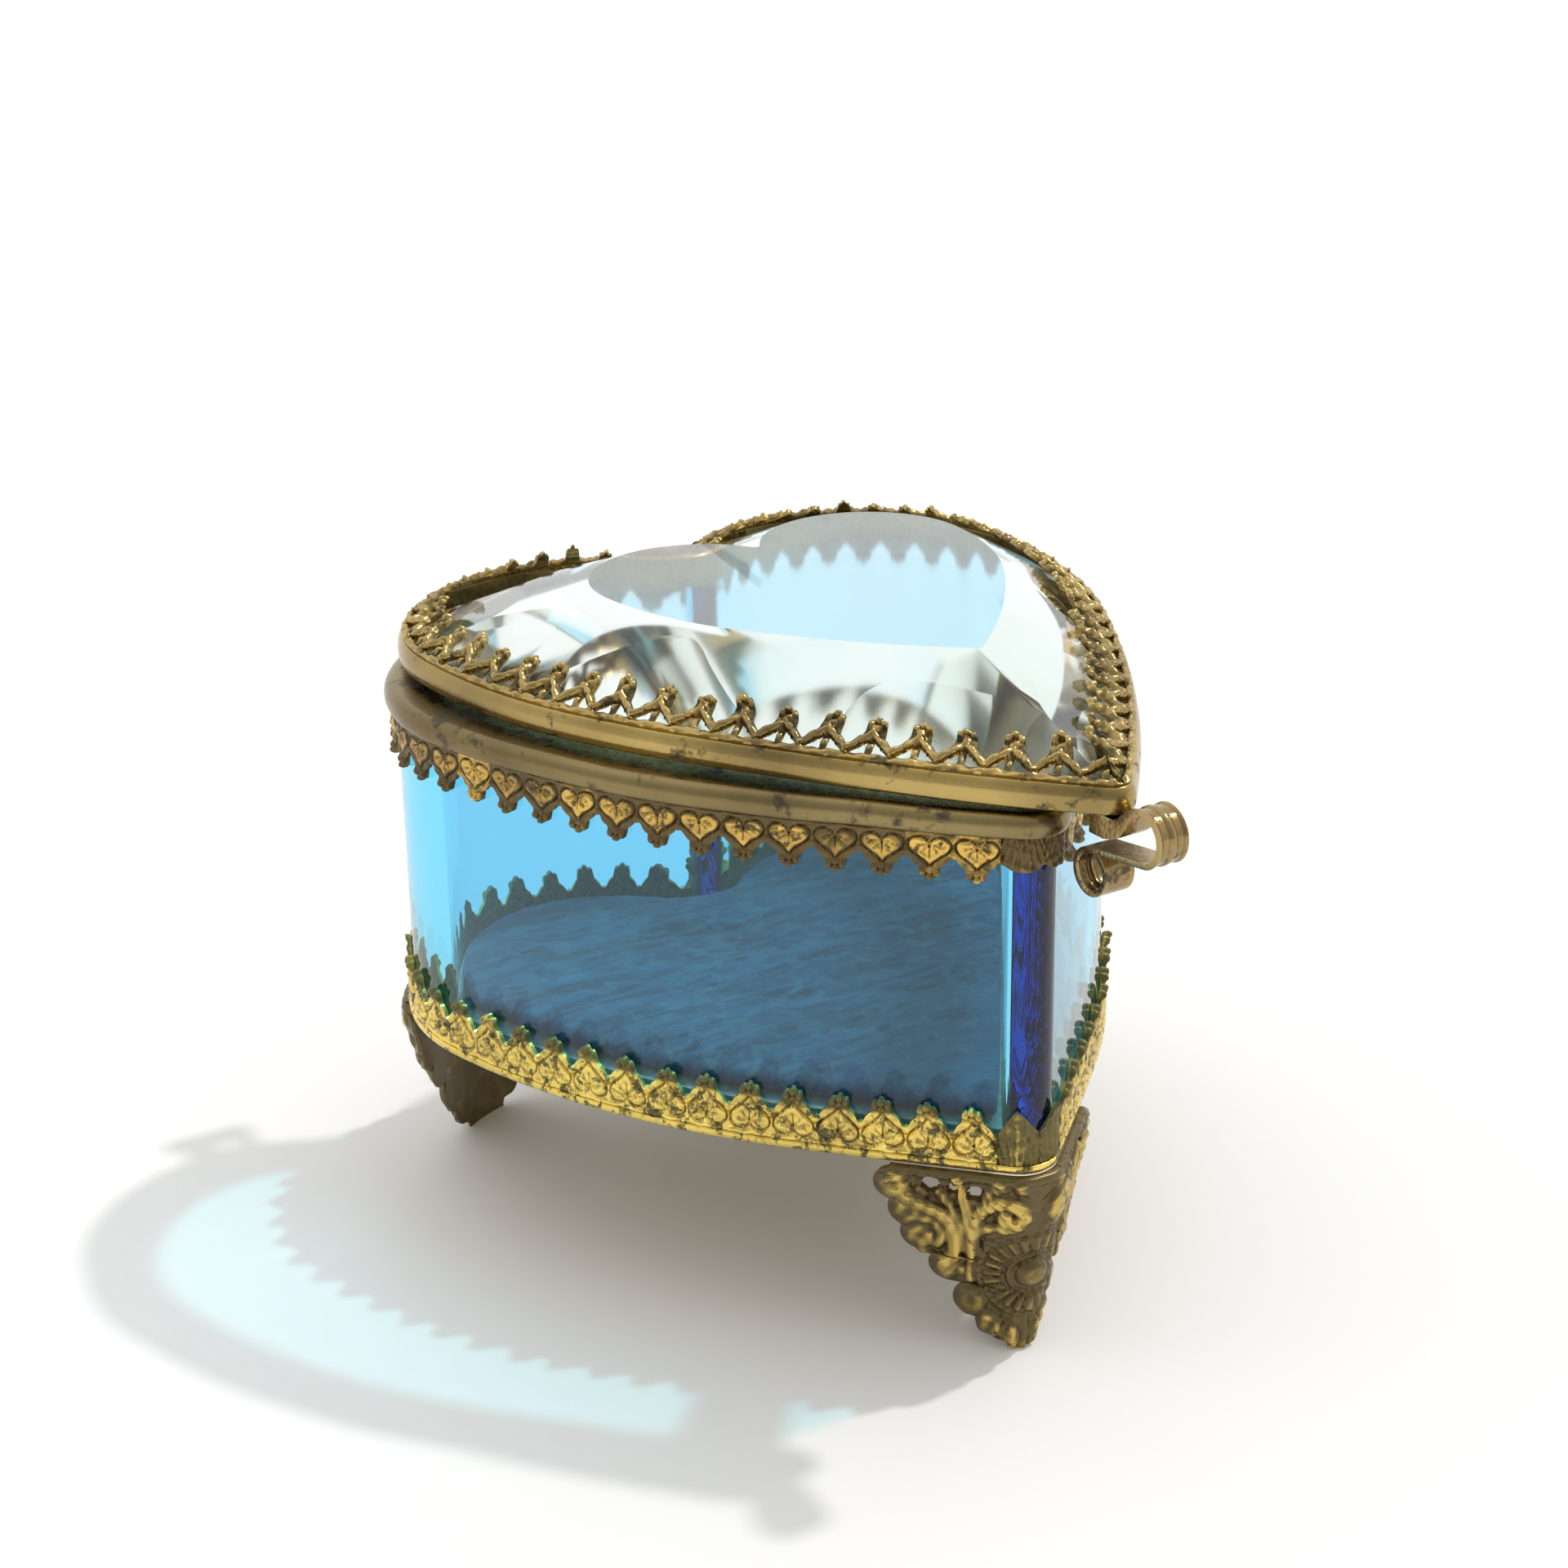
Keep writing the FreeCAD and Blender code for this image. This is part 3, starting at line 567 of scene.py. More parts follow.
def strip(name, heart, height, place, material, body, tarnish_and_shade, replaces, lid=False, holes=None,
          thick=0.28, relief=heart_relief, edge=tooth_top, lumps=0.0, leaves=(), leaf_top=POINTED,
          right_side_darkening=0.0):
    """Band of teeth round the heart.

    place(point, normal, v, n, unit) gives a position, and holes(u, v, height) is true where the sheet is
    pierced. leaves are the teeth that are plain leaves. The last argument makes the right side darker.
    """
    rows = 30
    spread = np.random.default_rng(17).normal(0, 0.18, MOST_TEETH)
    half = heart.half_length()
    count = round(half / PITCH)
    real = half / count
    verts, faces, dark = [], [], []
    start = 0
    for side in (1, -1):
        u, s, unit = teeth_along(count, real, 0 if side == 1 else count)
        t = np.linspace(0, 1, rows)
        plain = np.isin(np.floor(s / real), leaves)
        top = np.where(plain, np.interp(u, LEAF_AT, leaf_top) * height / TOOTH_HEIGHT, edge(u, height))
        plain = plain[:, None]
        v = top[:, None] * t[None, :]
        uu = np.repeat(u[:, None], rows, 1)
        n = np.where(plain, leaf_relief(uu, v), relief(uu, v, height))
        # dents of handling, different on each side
        run = s[:, None] + 37.0 * side
        n = n + lumps * np.sin(2.7 * run + 1.3 * v) * np.sin(3.1 * v - 1.1 * run + 0.7)
        leaf_shade = 0.95 - 0.9 * np.clip(n - 0.1, 0, 0.5)
        shade = np.where(plain, leaf_shade, tarnish_and_shade(uu, v, height, n) + spread[unit][:, None])
        # the right side is made darker
        shade = shade + right_side_darkening * (side == 1)
        dark += [shade.ravel(), np.full(shade.size, 0.1 if lid else 0.6)]
        point, normal = heart.along(s)
        front = place(point, normal, v, n, unit)
        back = place(point, normal, v, np.full_like(n, -thick), unit)
        both = np.stack([front, back], 0)
        both[..., 0] = np.maximum(both[..., 0], 0.02) * side
        nu = len(u)
        verts.append(both.reshape(-1, 3))
        kept = np.ones((nu - 1, rows - 1), bool)
        if holes is not None:
            cu = (uu[1:, 1:] + uu[:-1, 1:]) / 2
            cv = (v[1:, 1:] + v[1:, :-1] + v[:-1, 1:] + v[:-1, :-1]) / 4
            kept = ~holes(cu, cv, height)
        faces += list(grid_faces(nu, rows, start=start)[kept.ravel()])
        faces += list(grid_faces(nu, rows, start=start + nu * rows, flip=True)[kept.ravel()])
        # the two ends stay open, where the sides meet
        padded = np.pad(np.pad(kept, ((0, 0), (1, 1))), ((1, 1), (0, 0)), mode="edge")
        faces += edge_walls(padded, start)
        start += 2 * nu * rows
    make_object(name, placed(np.vstack(verts), lid), faces, material, body, replaces, 50.0,
                tarnish_and_shade=np.concatenate(dark))


def upright(root, direction, seed):
    """Placing of an upright gallery, with each tooth bent a little its own way."""
    r = np.random.default_rng(seed)
    lean = r.normal(0, 0.10, MOST_TEETH)
    twist = r.normal(0, 0.10, MOST_TEETH)
    short = r.uniform(0.0, 0.06, MOST_TEETH)

    def place(point, normal, v, n, unit):
        reach = np.clip((v - 2.6) / 3.5, 0, 1)
        along = np.stack([-normal[:, 1], normal[:, 0]], -1)
        out = -0.52 + n + reach**2 * np.abs(lean[unit])[:, None] * 1.6
        side = reach**1.5 * twist[unit][:, None] * 1.5
        xy = point[:, None] + normal[:, None] * out[..., None] + along[:, None] * side[..., None]
        z = root + direction * v * (1 - short[unit][:, None] * reach)
        return np.concatenate([xy, z[..., None]], -1)

    return place


strip("lower_hearts", BODY, TOOTH_HEIGHT, upright(GLASS_BOTTOM, 1, 3), GILT, "case", gold_bands,
      replaces=("lower_gallery",), leaves=(0, SIDE_LEAF), lumps=0.07, right_side_darkening=0.32)
strip("upper_hearts", BODY, 5.0, upright(BODY_TOP - 2.62, -1, 5), GILT_DIM, "case", gold_hearts,
      replaces=("upper_gallery",), leaves=(0,), lumps=0.09, leaf_top=BLUNT)


# ---------------- feet

# half of the outline: lobes as (distance from the middle line, height, radius), and the border inside them
FOOT_LOBES = (
    (0.0, 7.4, 7.0), (2.6, 1.7, 1.9), (5.2, 3.0, 2.0), (7.2, 5.6, 2.2), (9.9, 9.6, 1.9), (12.6, 13.1, 2.0),
    (13.7, 15.9, 2.1), (15.2, 18.9, 2.0),
)
FOOT_BODY = ((0.0, 4.0), (6.4, 4.6), (8.8, 9.6), (12.0, 13.0), (14.2, 17.0), (15.4, 21.2))
FOOT_HOLES = ((6.7, 19.0, 0.75), (8.9, 19.3, 0.6), (11.2, 19.6, 0.9))
FOOT_TOP = 21.18
ROSETTE_HEIGHT = 9.5
ROSETTE_STRETCH = 1.2
FOOT_BEADS = (
    (4.2, 19.9, 1.0), (2.0, 19.9, 0.85), (9.9, 18.3, 0.8), (5.0, 12.9, 0.7), (8.0, 9.4, 0.8), (6.9, 17.9, 0.6),
    (3.0, 13.3, 0.7), (1.0, 15.0, 0.8), (12.0, 18.6, 0.9),
)
# ridges of the relief: (height, width, points along the wall and up)
SCROLLS = (
    (0.55, 0.36, ((8.4, 20.2), (7.5, 17.2), (7.0, 14.0), (6.8, 10.8), (6.8, 8.6))),
    (0.40, 0.30, ((5.2, 19.4), (5.9, 16.6), (6.3, 13.6), (6.4, 11.5))),
    (0.42, 0.30, ((10.4, 19.0), (9.0, 17.0), (8.0, 14.6), (7.5, 12.0))),
    (0.62, 0.48, ((14.6, 18.3), (12.9, 17.2), (11.2, 16.6), (9.8, 15.9), (8.9, 14.5), (8.6, 12.6), (8.9, 11.0),
                  (10.0, 9.8))),
    (0.45, 0.36, ((13.2, 15.2), (11.8, 15.3), (10.6, 14.8), (10.0, 13.6), (10.4, 12.5), (11.2, 12.6),
                  (11.3, 13.4))),
    (0.35, 0.30, ((13.8, 13.6), (12.6, 13.9), (11.9, 14.2))),
    (0.60, 0.46, ((6.7, 15.6), (5.6, 17.2), (4.0, 18.1), (2.4, 17.9), (1.5, 16.8), (2.1, 15.7), (3.2, 15.9),
                  (3.4, 16.6))),
    (0.45, 0.34, ((6.6, 13.6), (5.4, 14.8), (3.8, 15.0), (2.2, 14.7))),
    (0.35, 0.30, ((12.4, 11.6), (11.0, 10.8), (9.8, 10.6))),
)


def foot_width(z):
    """Half width of a foot at each height."""
    best = np.interp(z, [p[1] for p in FOOT_BODY], [p[0] for p in FOOT_BODY], left=0.0)
    for u, cz, r in FOOT_LOBES:
        reach = u + np.sqrt(np.clip(r**2 - (z - cz) ** 2, 0, None))
        best = np.maximum(best, np.where(np.abs(z - cz) < r, reach, 0.0))
    return np.maximum(best, 0.6)


def smooth_curve(points, count=40):
    """Catmull-Rom curve through the points."""
    p = np.array(points)
    q = np.linspace(0, len(p) - 1, count)
    i = np.clip(q.astype(int), 0, len(p) - 2)
    f = (q - i)[:, None]
    p0, p1, p2, p3 = p[np.clip(i - 1, 0, None)], p[i], p[i + 1], p[np.clip(i + 2, None, len(p) - 1)]
    square = (2 * p0 - 5 * p1 + 4 * p2 - p3) * f**2
    cube = (3 * p1 - p0 - 3 * p2 + p3) * f**3
    return 0.5 * (2 * p1 + (p2 - p0) * f + square + cube)


def rosette_relief(d, angle):
    """Beaded rim, flutes, inner ring and boss, by distance from the middle and angle."""
    h = 0.34 * np.exp(-(((d - 5.1) / 0.30) ** 2)) * (1 + 0.25 * np.cos(angle * 34))
    flutes = np.clip((d - 2.75) / 0.25, 0, 1) * np.clip((4.75 - d) / 0.25, 0, 1)
    h += flutes * (0.06 + 0.42 * np.abs(np.cos(angle * 12)) ** 0.8)
    h += 0.32 * np.exp(-(((d - 2.25) / 0.24) ** 2)) * (1 + 0.3 * np.cos(angle * 22))
    return h + np.where(d < 1.6, 0.85 * np.sqrt(np.clip(1 - (d / 1.6) ** 2, 0, 1)), 0)


def foot_relief(u, z, w):
    """Fleshy scrolls and beads round a fluted rosette, on a foot of half width w."""
    edge = np.clip((w - u) / 0.9, 0, 1)
    h = 0.24 * np.sqrt(edge) - 0.05
    d = np.hypot(u / ROSETTE_STRETCH, z - ROSETTE_HEIGHT)
    angle = np.arctan2(z - ROSETTE_HEIGHT, u / ROSETTE_STRETCH)
    outside = np.clip((d - 5.3) / 0.4, 0, 1)
    scroll = np.zeros_like(u)
    for height, width, points in SCROLLS:
        dist = distance_to(smooth_curve(points), u, z) / (width * 2.0)
        scroll = np.maximum(scroll, (height + 0.12) * np.sqrt(np.clip(1 - dist**2, 0, 1)))
    for cu, cz, r in FOOT_LOBES[1:]:
        q = np.hypot(u - cu + 0.35, z - cz) / (r * 0.86)
        dimple = 1 - 0.35 * np.exp(-((q / 0.3) ** 2))
        scroll = np.maximum(scroll, 0.62 * np.sqrt(np.clip(1 - q**2, 0, 1)) * dimple)
    for cu, cz, r in FOOT_BEADS:
        scroll = np.maximum(scroll, bump_at(u, z, cu, cz, r, r, 0.5))
    h += scroll * outside
    # fine ridges that run along the leaves
    h += 0.075 * outside * edge * np.cos(np.arctan2(u - 8.0, 23.5 - z) * 42 + 1.5 * np.sin(z * 0.9))
    h += rosette_relief(d, angle)
    # ribbed end under the rosette
    fan = np.clip((4.9 - z) / 2.5, 0, 1) * outside
    h += fan * 0.16 * np.cos(np.arctan2(u, 11.0 - z) * 30)
    # bead along the top
    return h + 0.30 * np.sqrt(np.clip(1 - ((z - 20.7) / 0.5) ** 2, 0, 1))


# how far the top of a foot stands out from the case, and how much its end draws in
FOOT_PROUD = 0.6
FOOT_DRAW = 3.2


def round_the_point(u, width, depth, offset, side):
    """Plan of one row of the front foot, folded round the point of the case."""
    tip_x, tip_y, tip_r = BODY.arcs(FOOT_PROUD)[4][:3]
    tip = np.array([tip_x, tip_y - tip_r])
    side_angle = BODY.arcs(0.0)[3][4]
    p, n = BODY.half(offset, 0.15)
    across = np.array([-math.sin(side_angle), math.cos(side_angle)])
    along = (p - tip) @ across
    stop = int(np.searchsorted(p[:, 1], p[0, 1] + 22))
    want = along[0] + u * (width - along[0]) / width
    q = np.stack([np.interp(want, along[:stop], p[:stop, k]) for k in range(2)], 1)
    m = np.stack([np.interp(want, along[:stop], n[:stop, k]) for k in range(2)], 1)
    m /= np.linalg.norm(m, axis=1, keepdims=True)
    xy = q + m * depth[:, None]
    xy[:, 0] = np.maximum(xy[:, 0], 0.0) * side
    return xy


def round_the_lobe(mirror):
    """Placing of a rear foot, bent to the lobe of the right (1) or the left (-1)."""
    lx, ly = BODY.lobe

    def place(u, width, depth, offset, side):
        angle = math.radians(62) + side * np.arcsin(u * 0.95 / (BODY.lobe_radius + FOOT_PROUD))
        r = BODY.lobe_radius + offset + depth
        return np.stack([mirror * (lx + r * np.cos(angle)), ly + r * np.sin(angle)], 1)

    return place


def foot_shape(name, place, replaces):
    """Stamped sheet in two halves with relief; place(u, width, depth, offset, side) bends a row of it."""
    rows, columns = 118, 72
    z = np.linspace(0.0, FOOT_TOP, rows)
    width = foot_width(np.clip(z, 0.35, None))
    s = np.linspace(0, 1, columns) ** 0.93
    verts, faces, dark = [], [], []
    for number, side in enumerate((1, -1)):
        u = width[:, None] * s[None, :]
        zz = np.repeat(z[:, None], columns, 1)
        relief = foot_relief(u, zz, width[:, None]) * 1.15
        # hollows are painted dark and crests gold, as tarnish with painted shade and painted highlight; the
        # boss is darker, and the end and the outer scroll are brighter
        shade = 1.0 - 0.95 * np.clip((relief - 0.60) / 0.5, 0, 1)
        shade += 0.6 * (np.hypot(u / ROSETTE_STRETCH, zz - ROSETTE_HEIGHT) < 1.35)
        shade -= 0.45 * np.clip((3.0 - zz) / 2.5, 0, 1)
        shade -= 0.5 * np.clip(1 - np.hypot(u - 14.6, zz - 18.6) / 3.0, 0, 1)
        dark += [shade.ravel(), np.full(relief.size, 0.8)]
        for depth in (relief - 0.45, np.full_like(relief, -0.85)):
            sheet = np.zeros((rows, columns, 3))
            for i in range(rows):
                offset = FOOT_PROUD - FOOT_DRAW * (1 - z[i] / FOOT_TOP)
                sheet[i, :, :2] = place(u[i], width[i], depth[i], offset, side)
                sheet[i, :, 2] = z[i]
            verts.append(sheet.reshape(-1, 3))
        cu = (u[1:, 1:] + u[1:, :-1] + u[:-1, 1:] + u[:-1, :-1]) / 4
        cz = (zz[1:, 1:] + zz[:-1, 1:]) / 2
        kept = np.ones_like(cu, bool)
        for hu, hz, hr in FOOT_HOLES:
            kept &= np.hypot(cu - hu, cz - hz) > hr
        start = number * 2 * rows * columns
        faces += list(grid_faces(rows, columns, start=start)[kept.ravel()])
        faces += list(grid_faces(rows, columns, start=start + rows * columns, flip=True)[kept.ravel()])
        # the middle line stays open, where the halves meet
        padded = np.pad(np.pad(kept, ((1, 1), (0, 1))), ((0, 0), (1, 0)), mode="edge")
        faces += edge_walls(padded, start)
    make_object(name, placed(np.vstack(verts)), faces, FOOT_BRASS, "case", replaces, 60.0, 2e-5,
                np.concatenate(dark))


foot_shape("scrolled_foot_front", round_the_point, ("foot_front",))
foot_shape("scrolled_foot_right", round_the_lobe(1), ("foot_rear_right",))
foot_shape("scrolled_foot_left", round_the_lobe(-1), ("foot_rear_left",))


# ---------------- lid glass

RIM_INSET = 0.9
RIM_BOTTOM = 60.8
RIM_TOP = 62.2
TABLE_TOP = 70.0
BEVEL_RINGS = 16
# points on each arc of half the outline, from the point to the cleft
ARC_POINTS = (10, 150, 70, 160, 6)
# ground facets: depth below the rim, degrees steeper than the bevel, and degrees away from the point
FACET_DEPTH = 1.1
FACET_STEEPER = 4.0
FACET_ANGLES = (48, 64, 92, 126, 160)
# bends of the crystal that are sharper than this stay hard edges
CRYSTAL_EDGE = math.radians(24)


def facet_plane(angle):
    """A point and the upward normal of one ground facet that looks outwards at an angle."""
    direction = np.array([math.cos(angle), math.sin(angle)])
    reach = (LID.loop(-RIM_INSET, 0.5)[0] @ direction).max()
    margin = reach - (TABLE.loop(0.0, 0.3)[0] @ direction).max()
    slope = math.atan2(TABLE_TOP - RIM_TOP, margin) + math.radians(FACET_STEEPER)
    point = Vector((*(direction * reach), RIM_TOP - FACET_DEPTH))
    return point, Vector((*(direction * math.sin(slope)), math.cos(slope)))


def lid_glass():
    """One crystal: a bevel from the rim up to the table, with facets cut out of it."""
    rim, _ = LID.loop(-RIM_INSET, counts=ARC_POINTS)
    table, _ = TABLE.loop(0.0, counts=ARC_POINTS)
    rings = [(rim, RIM_BOTTOM), (rim, RIM_TOP)]
    for t in np.linspace(0, 1, BEVEL_RINGS + 1)[1:]:
        rings.append((rim + (table - rim) * t, RIM_TOP + (TABLE_TOP - RIM_TOP) * t))
    bm = bmesh.new()
    bottom, top = stack_rings(bm, rings)
    # each flat face gets a number of its own, so that the borders between them stay hard edges
    top.material_index = 1
    bottom.material_index = 2
    index = 3
    for degrees in FACET_ANGLES:
        for mirror in (1, -1):
            point, normal = facet_plane(math.radians(-90 + mirror * degrees))
            cut = bmesh.ops.bisect_plane(bm, geom=bm.verts[:] + bm.edges[:] + bm.faces[:], dist=1e-5,
                                         plane_co=point, plane_no=normal, clear_outer=True)
            edges = [e for e in cut["geom_cut"] if isinstance(e, bmesh.types.BMEdge)]
            before = set(bm.faces)
            bmesh.ops.edgeloop_fill(bm, edges=edges)
            for face in set(bm.faces) - before:
                face.material_index = index
            index += 1
    bmesh.ops.recalc_face_normals(bm, faces=bm.faces)
    for edge in bm.edges:
        faces = edge.link_faces
        same = len(faces) == 2 and faces[0].material_index == faces[1].material_index
        edge.smooth = same and edge.calc_face_angle(0) < CRYSTAL_EDGE
    for face in bm.faces:
        face.material_index = 0
        face.smooth = True
    for v in bm.verts:
        v.co = placed(np.array(v.co), True)
    obj = linked("lid_crystal", bm, CLEAR)
    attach(obj, "lid")
    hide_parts("lid_glass")


lid_glass()

# ---------------- lid gallery

# where the strip starts: offset from the lid's outline, and height
LID_ROOT = (-0.55, 62.95)
# one tooth of the left side is bent up further than the rest, by this many degrees
BENT_TOOTH = 55
BENT_BY = 38.0


def lid_place(seed):
    """Strip that lies inwards over the bevel and turns its points up."""
    r = np.random.default_rng(seed)
    curl = r.normal(0, 9.0, MOST_TEETH)
    twist = r.normal(0, 0.2, MOST_TEETH)
    curl[BENT_TOOTH] = BENT_BY
    short = r.uniform(0.0, 0.14, MOST_TEETH)
    path = np.linspace(0, 7.0, 120)
    lean = 27.0 + 36.0 * np.clip((path - 3.7) / 1.9, 0, 1) ** 1.2

    def place(point, normal, v, n, unit):
        angle = np.radians(lean + curl[unit][:, None] * np.clip((path - 3.4) / 1.6, 0, 1))
        inward = np.cumsum(np.cos(angle), 1) * path[1]
        upward = np.cumsum(np.sin(angle), 1) * path[1]
        v = v * (1 - short[unit][:, None] * np.clip((v - 2.5) / 3.5, 0, 1))
        tables = (inward, upward, angle)
        reach, rise, turn = [np.array([np.interp(row, path, k) for row, k in zip(v, t)]) for t in tables]
        along = np.stack([-normal[:, 1], normal[:, 0]], -1)
        radial = LID_ROOT[0] - reach + n * np.sin(turn)
        side = np.clip((v - 3.4) / 2.6, 0, 1) ** 1.5 * twist[unit][:, None] * 1.6
        xy = point[:, None] + normal[:, None] * radial[..., None] + along[:, None] * side[..., None]
        z = LID_ROOT[1] + rise + n * np.cos(turn)
        return np.concatenate([xy, z[..., None]], -1)

    return place


def pierced(u, v, height):
    """Openings under the arch, either side of a stem."""
    w = v * TOOTH_HEIGHT / height
    return (w < 2.85 - 0.95 * np.abs(u)) & (w > 0.75) & (np.abs(u) > 0.34)


def arch_relief(u, v, height):
    """Two round ridges that meet in a point, a base ridge and a lumpy finial."""
    w = v * TOOTH_HEIGHT / height
    across = (w - (3.45 - np.abs(u))) / 0.66
    n = 0.62 * np.sqrt(np.clip(1 - across**2, 0, 1))
    n += 0.34 * np.sqrt(np.clip(1 - ((w - 0.35) / 0.5) ** 2, 0, 1))
    n += bump_at(u, w, 0, 1.7, 0.4, 0.5, 0.25) + bump_at(u, w, 0, 4.3, 0.55, 0.8, 0.35)
    return n + bump_at(u, w, 0, 5.6, 0.48, 0.55, 0.5) + bump_at(np.abs(u), w, 0.7, 5.1, 0.42, 0.5, 0.45)


strip("lid_hearts", LID, 6.0, lid_place(11), LID_BRASS, "lid", bright_ridges, lid=True,
      replaces=("lid_gallery",), holes=pierced, thick=0.22, relief=arch_relief, edge=arch_top, lumps=0.16)

# ---------------- catch

# straights and bends as (length, degrees, radius), the start as (y, z), and the distance of the sections
CATCH_PATH = ((3.0, 0, 0), (0, 38, 1.6), (2.5, 0, 0), (0, -210, 2.5), (8.0, 0, 0), (0, 330, 2.2))
CATCH_START = (-43.6, 59.68)
CATCH_STEP = 0.22
CATCH_HALF_WIDTH = 1.7
# thickness under the ribs, and how much more the root has before it thins out over a length
CATCH_WEB = 0.26
CATCH_ROOT = 1.6
CATCH_TAPER = 4.2


def catch_centres():
    """Middle line of the catch as (y, z, heading in degrees)."""
    y, z, heading = *CATCH_START, 0.0
    centres = []
    for length, turn, radius in CATCH_PATH:
        arc = math.radians(abs(turn))
        steps = max(3, int((length or arc * radius) / CATCH_STEP))
        d = length / steps if length else 2 * radius * math.sin(arc / steps / 2)
        for _ in range(steps):
            centres.append((y, z, heading))
            heading += turn / steps / 2
            y -= d * math.cos(math.radians(heading))
            z += d * math.sin(math.radians(heading))
            heading += turn / steps / 2
    return centres + [(y, z, heading)]


def lid_catch():
    """Ribbed strip bent into a loop and a curl."""
    centres = catch_centres()
    across = np.linspace(-CATCH_HALF_WIDTH, CATCH_HALF_WIDTH, 37)
    ridge = 0.20 + 0.20 * np.clip(np.cos(across / CATCH_HALF_WIDTH * math.pi * 2.0), 0, 1) ** 0.7
    ridge[[0, -1]] = 0.1
    under = across[::-4]
    rows = []
    for i, (cy, cz, h) in enumerate(centres):
        a = math.radians(h)
        up = np.array([math.sin(a), math.cos(a)])
        wear = 0.05 * noise.noise(Vector((0.0, i * 0.55, 4.0)))
        web = CATCH_WEB + CATCH_ROOT * min(1.0, max(0.0, 1.5 - i * CATCH_STEP / CATCH_TAPER))
        top = [(x, t + wear * (abs(x) < 1.2)) for x, t in zip(across, ridge)]
        bottom = [(x, -web) for x in under]
        rows.append([(x, cy + up[0] * t, cz + up[1] * t) for x, t in top + bottom])
    v = np.array(rows)
    nu, nv = v.shape[:2]
    faces = list(grid_faces(nu, nv, False, True))
    faces += [tuple(range(nv)), tuple(range((nu - 1) * nv, nu * nv))[::-1]]
    make_object("scroll_catch", placed(v, True), faces, CATCH_BRASS, "lid", ("lid_catch",), 50.0,
                merge=0)


lid_catch()

# ---------------- lining pad


PAD_INSET = -6.1
PAD_RINGS = (24.5, 25.5, 26.5)
PAD_BASE = 24.3
PAD_FLOOR = 24.25
PAD_THICKEST = 3.5
# the cloth is worked at this many units to the millimetre, and may blow out by PUFF units at the most
PAD_SCALE = 0.02
PUFF = 0.014
CLOTH_FRAMES = 15


def blow_up(obj):
    """Fill a closed mesh with air as cloth, and keep the result."""
    cloth = obj.modifiers.new("cloth", "CLOTH")
    cloth.settings.effector_weights.gravity = 0.0
    cloth.settings.use_pressure = True
    cloth.settings.uniform_pressure_force = 4.0
    cloth.settings.tension_stiffness = 12
    for f in range(1, CLOTH_FRAMES + 1):
        bpy.context.scene.frame_set(f)
    bpy.ops.object.modifier_apply(modifier="cloth")
    bpy.context.scene.frame_set(1)


def creases(x, y):
    """Height of the soft dents and slanting folds of the pad."""
    soft = noise.fractal(Vector((x * 0.11, y * 0.11, 3.0)), 1.0, 2.0, 3) * 0.30
    bend = 2.2 * noise.noise(Vector((x * 0.05, y * 0.05, 1.0)))
    return soft + math.sin((x * 0.55 + y * 0.85) * 0.42 + bend) * 0.16


def lining_pad():
    """Thin stuffed pad: a heart of cloth blown up a little and held to its space."""
    outline, _ = BODY.loop(PAD_INSET, 1.2)
    bm = bmesh.new()
    stack_rings(bm, [(outline, z) for z in PAD_RINGS])
    for v in bm.verts:
        v.co = (v.co - Vector((0, 0, PAD_BASE))) * PAD_SCALE
    bmesh.ops.triangulate(bm, faces=bm.faces)
    obj = linked("silk_pad", bm, SILK)
    bpy.context.view_layer.objects.active = obj
    obj.select_set(True)
    remesh = obj.modifiers.new("remesh", "REMESH")
    remesh.mode = "VOXEL"
    remesh.voxel_size = 0.016
    bpy.ops.object.modifier_apply(modifier="remesh")
    rest = np.array([v.co for v in obj.data.vertices])
    blow_up(obj)
    delta = np.array([v.co for v in obj.data.vertices]) - rest
    length = np.linalg.norm(delta, axis=1, keepdims=True)
    delta *= np.minimum(1.0, PUFF / np.maximum(length, 1e-9))
    q = (rest + delta) / PAD_SCALE
    for point in q:
        x, y, z = point
        point[2] = np.clip(z + creases(x, y) * np.clip(z / 2.0, 0, 1), 0.0, PAD_THICKEST) + PAD_FLOOR
    for v, co in zip(obj.data.vertices, placed(q)):
        v.co = co
    smooth = obj.modifiers.new("smooth", "SUBSURF")
    smooth.levels = smooth.render_levels = 1
    bpy.ops.object.modifier_apply(modifier="smooth")
    obj.data.shade_smooth()
    obj.select_set(False)
    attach(obj, "case")
    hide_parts("lining_pad")


lining_pad()

# ---------------- hinges and plain pieces

FLAT = math.radians(2)
HARD_EDGE = math.radians(40)
SHADED_EDGE = math.radians(38)


def softened(source, name, material, body, width):
    """Copy of a plain metal piece with its hard edges rounded over by a width in millimetres."""
    node_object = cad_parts[source]
    bm = bmesh.new()
    bm.from_mesh(node_object.data)
    bmesh.ops.transform(bm, matrix=node_object.matrix_world, verts=bm.verts)
    bmesh.ops.remove_doubles(bm, verts=bm.verts, dist=1e-6)
    bmesh.ops.dissolve_limit(bm, angle_limit=FLAT, verts=bm.verts, edges=bm.edges)
    hard = [e for e in bm.edges if len(e.link_faces) == 2 and e.calc_face_angle(0) > HARD_EDGE]
    bmesh.ops.bevel(bm, geom=hard, offset=width * MM, segments=2, affect="EDGES", clamp_overlap=True)
    obj = linked(name, bm, material)
    obj.data.shade_smooth()
    obj.data.set_sharp_from_angle(angle=SHADED_EDGE)
    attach(obj, body)
    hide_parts(source)


for side in ("right", "left"):
    softened("hinge_body_" + side, "hinge_leaf_body_" + side, AGED, "case", 0.14)
    softened("hinge_lid_" + side, "hinge_leaf_lid_" + side, AGED, "lid", 0.14)
    softened("hinge_pin_" + side, "hinge_rod_" + side, STEEL, "case", 0.12)

for name, material in (("base_plate", AGED), ("lining_board", CARD)):
    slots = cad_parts[name].data.materials
    slots.clear()
    slots.append(material)


# ---------------- glass wall, ledge, bead and lid band

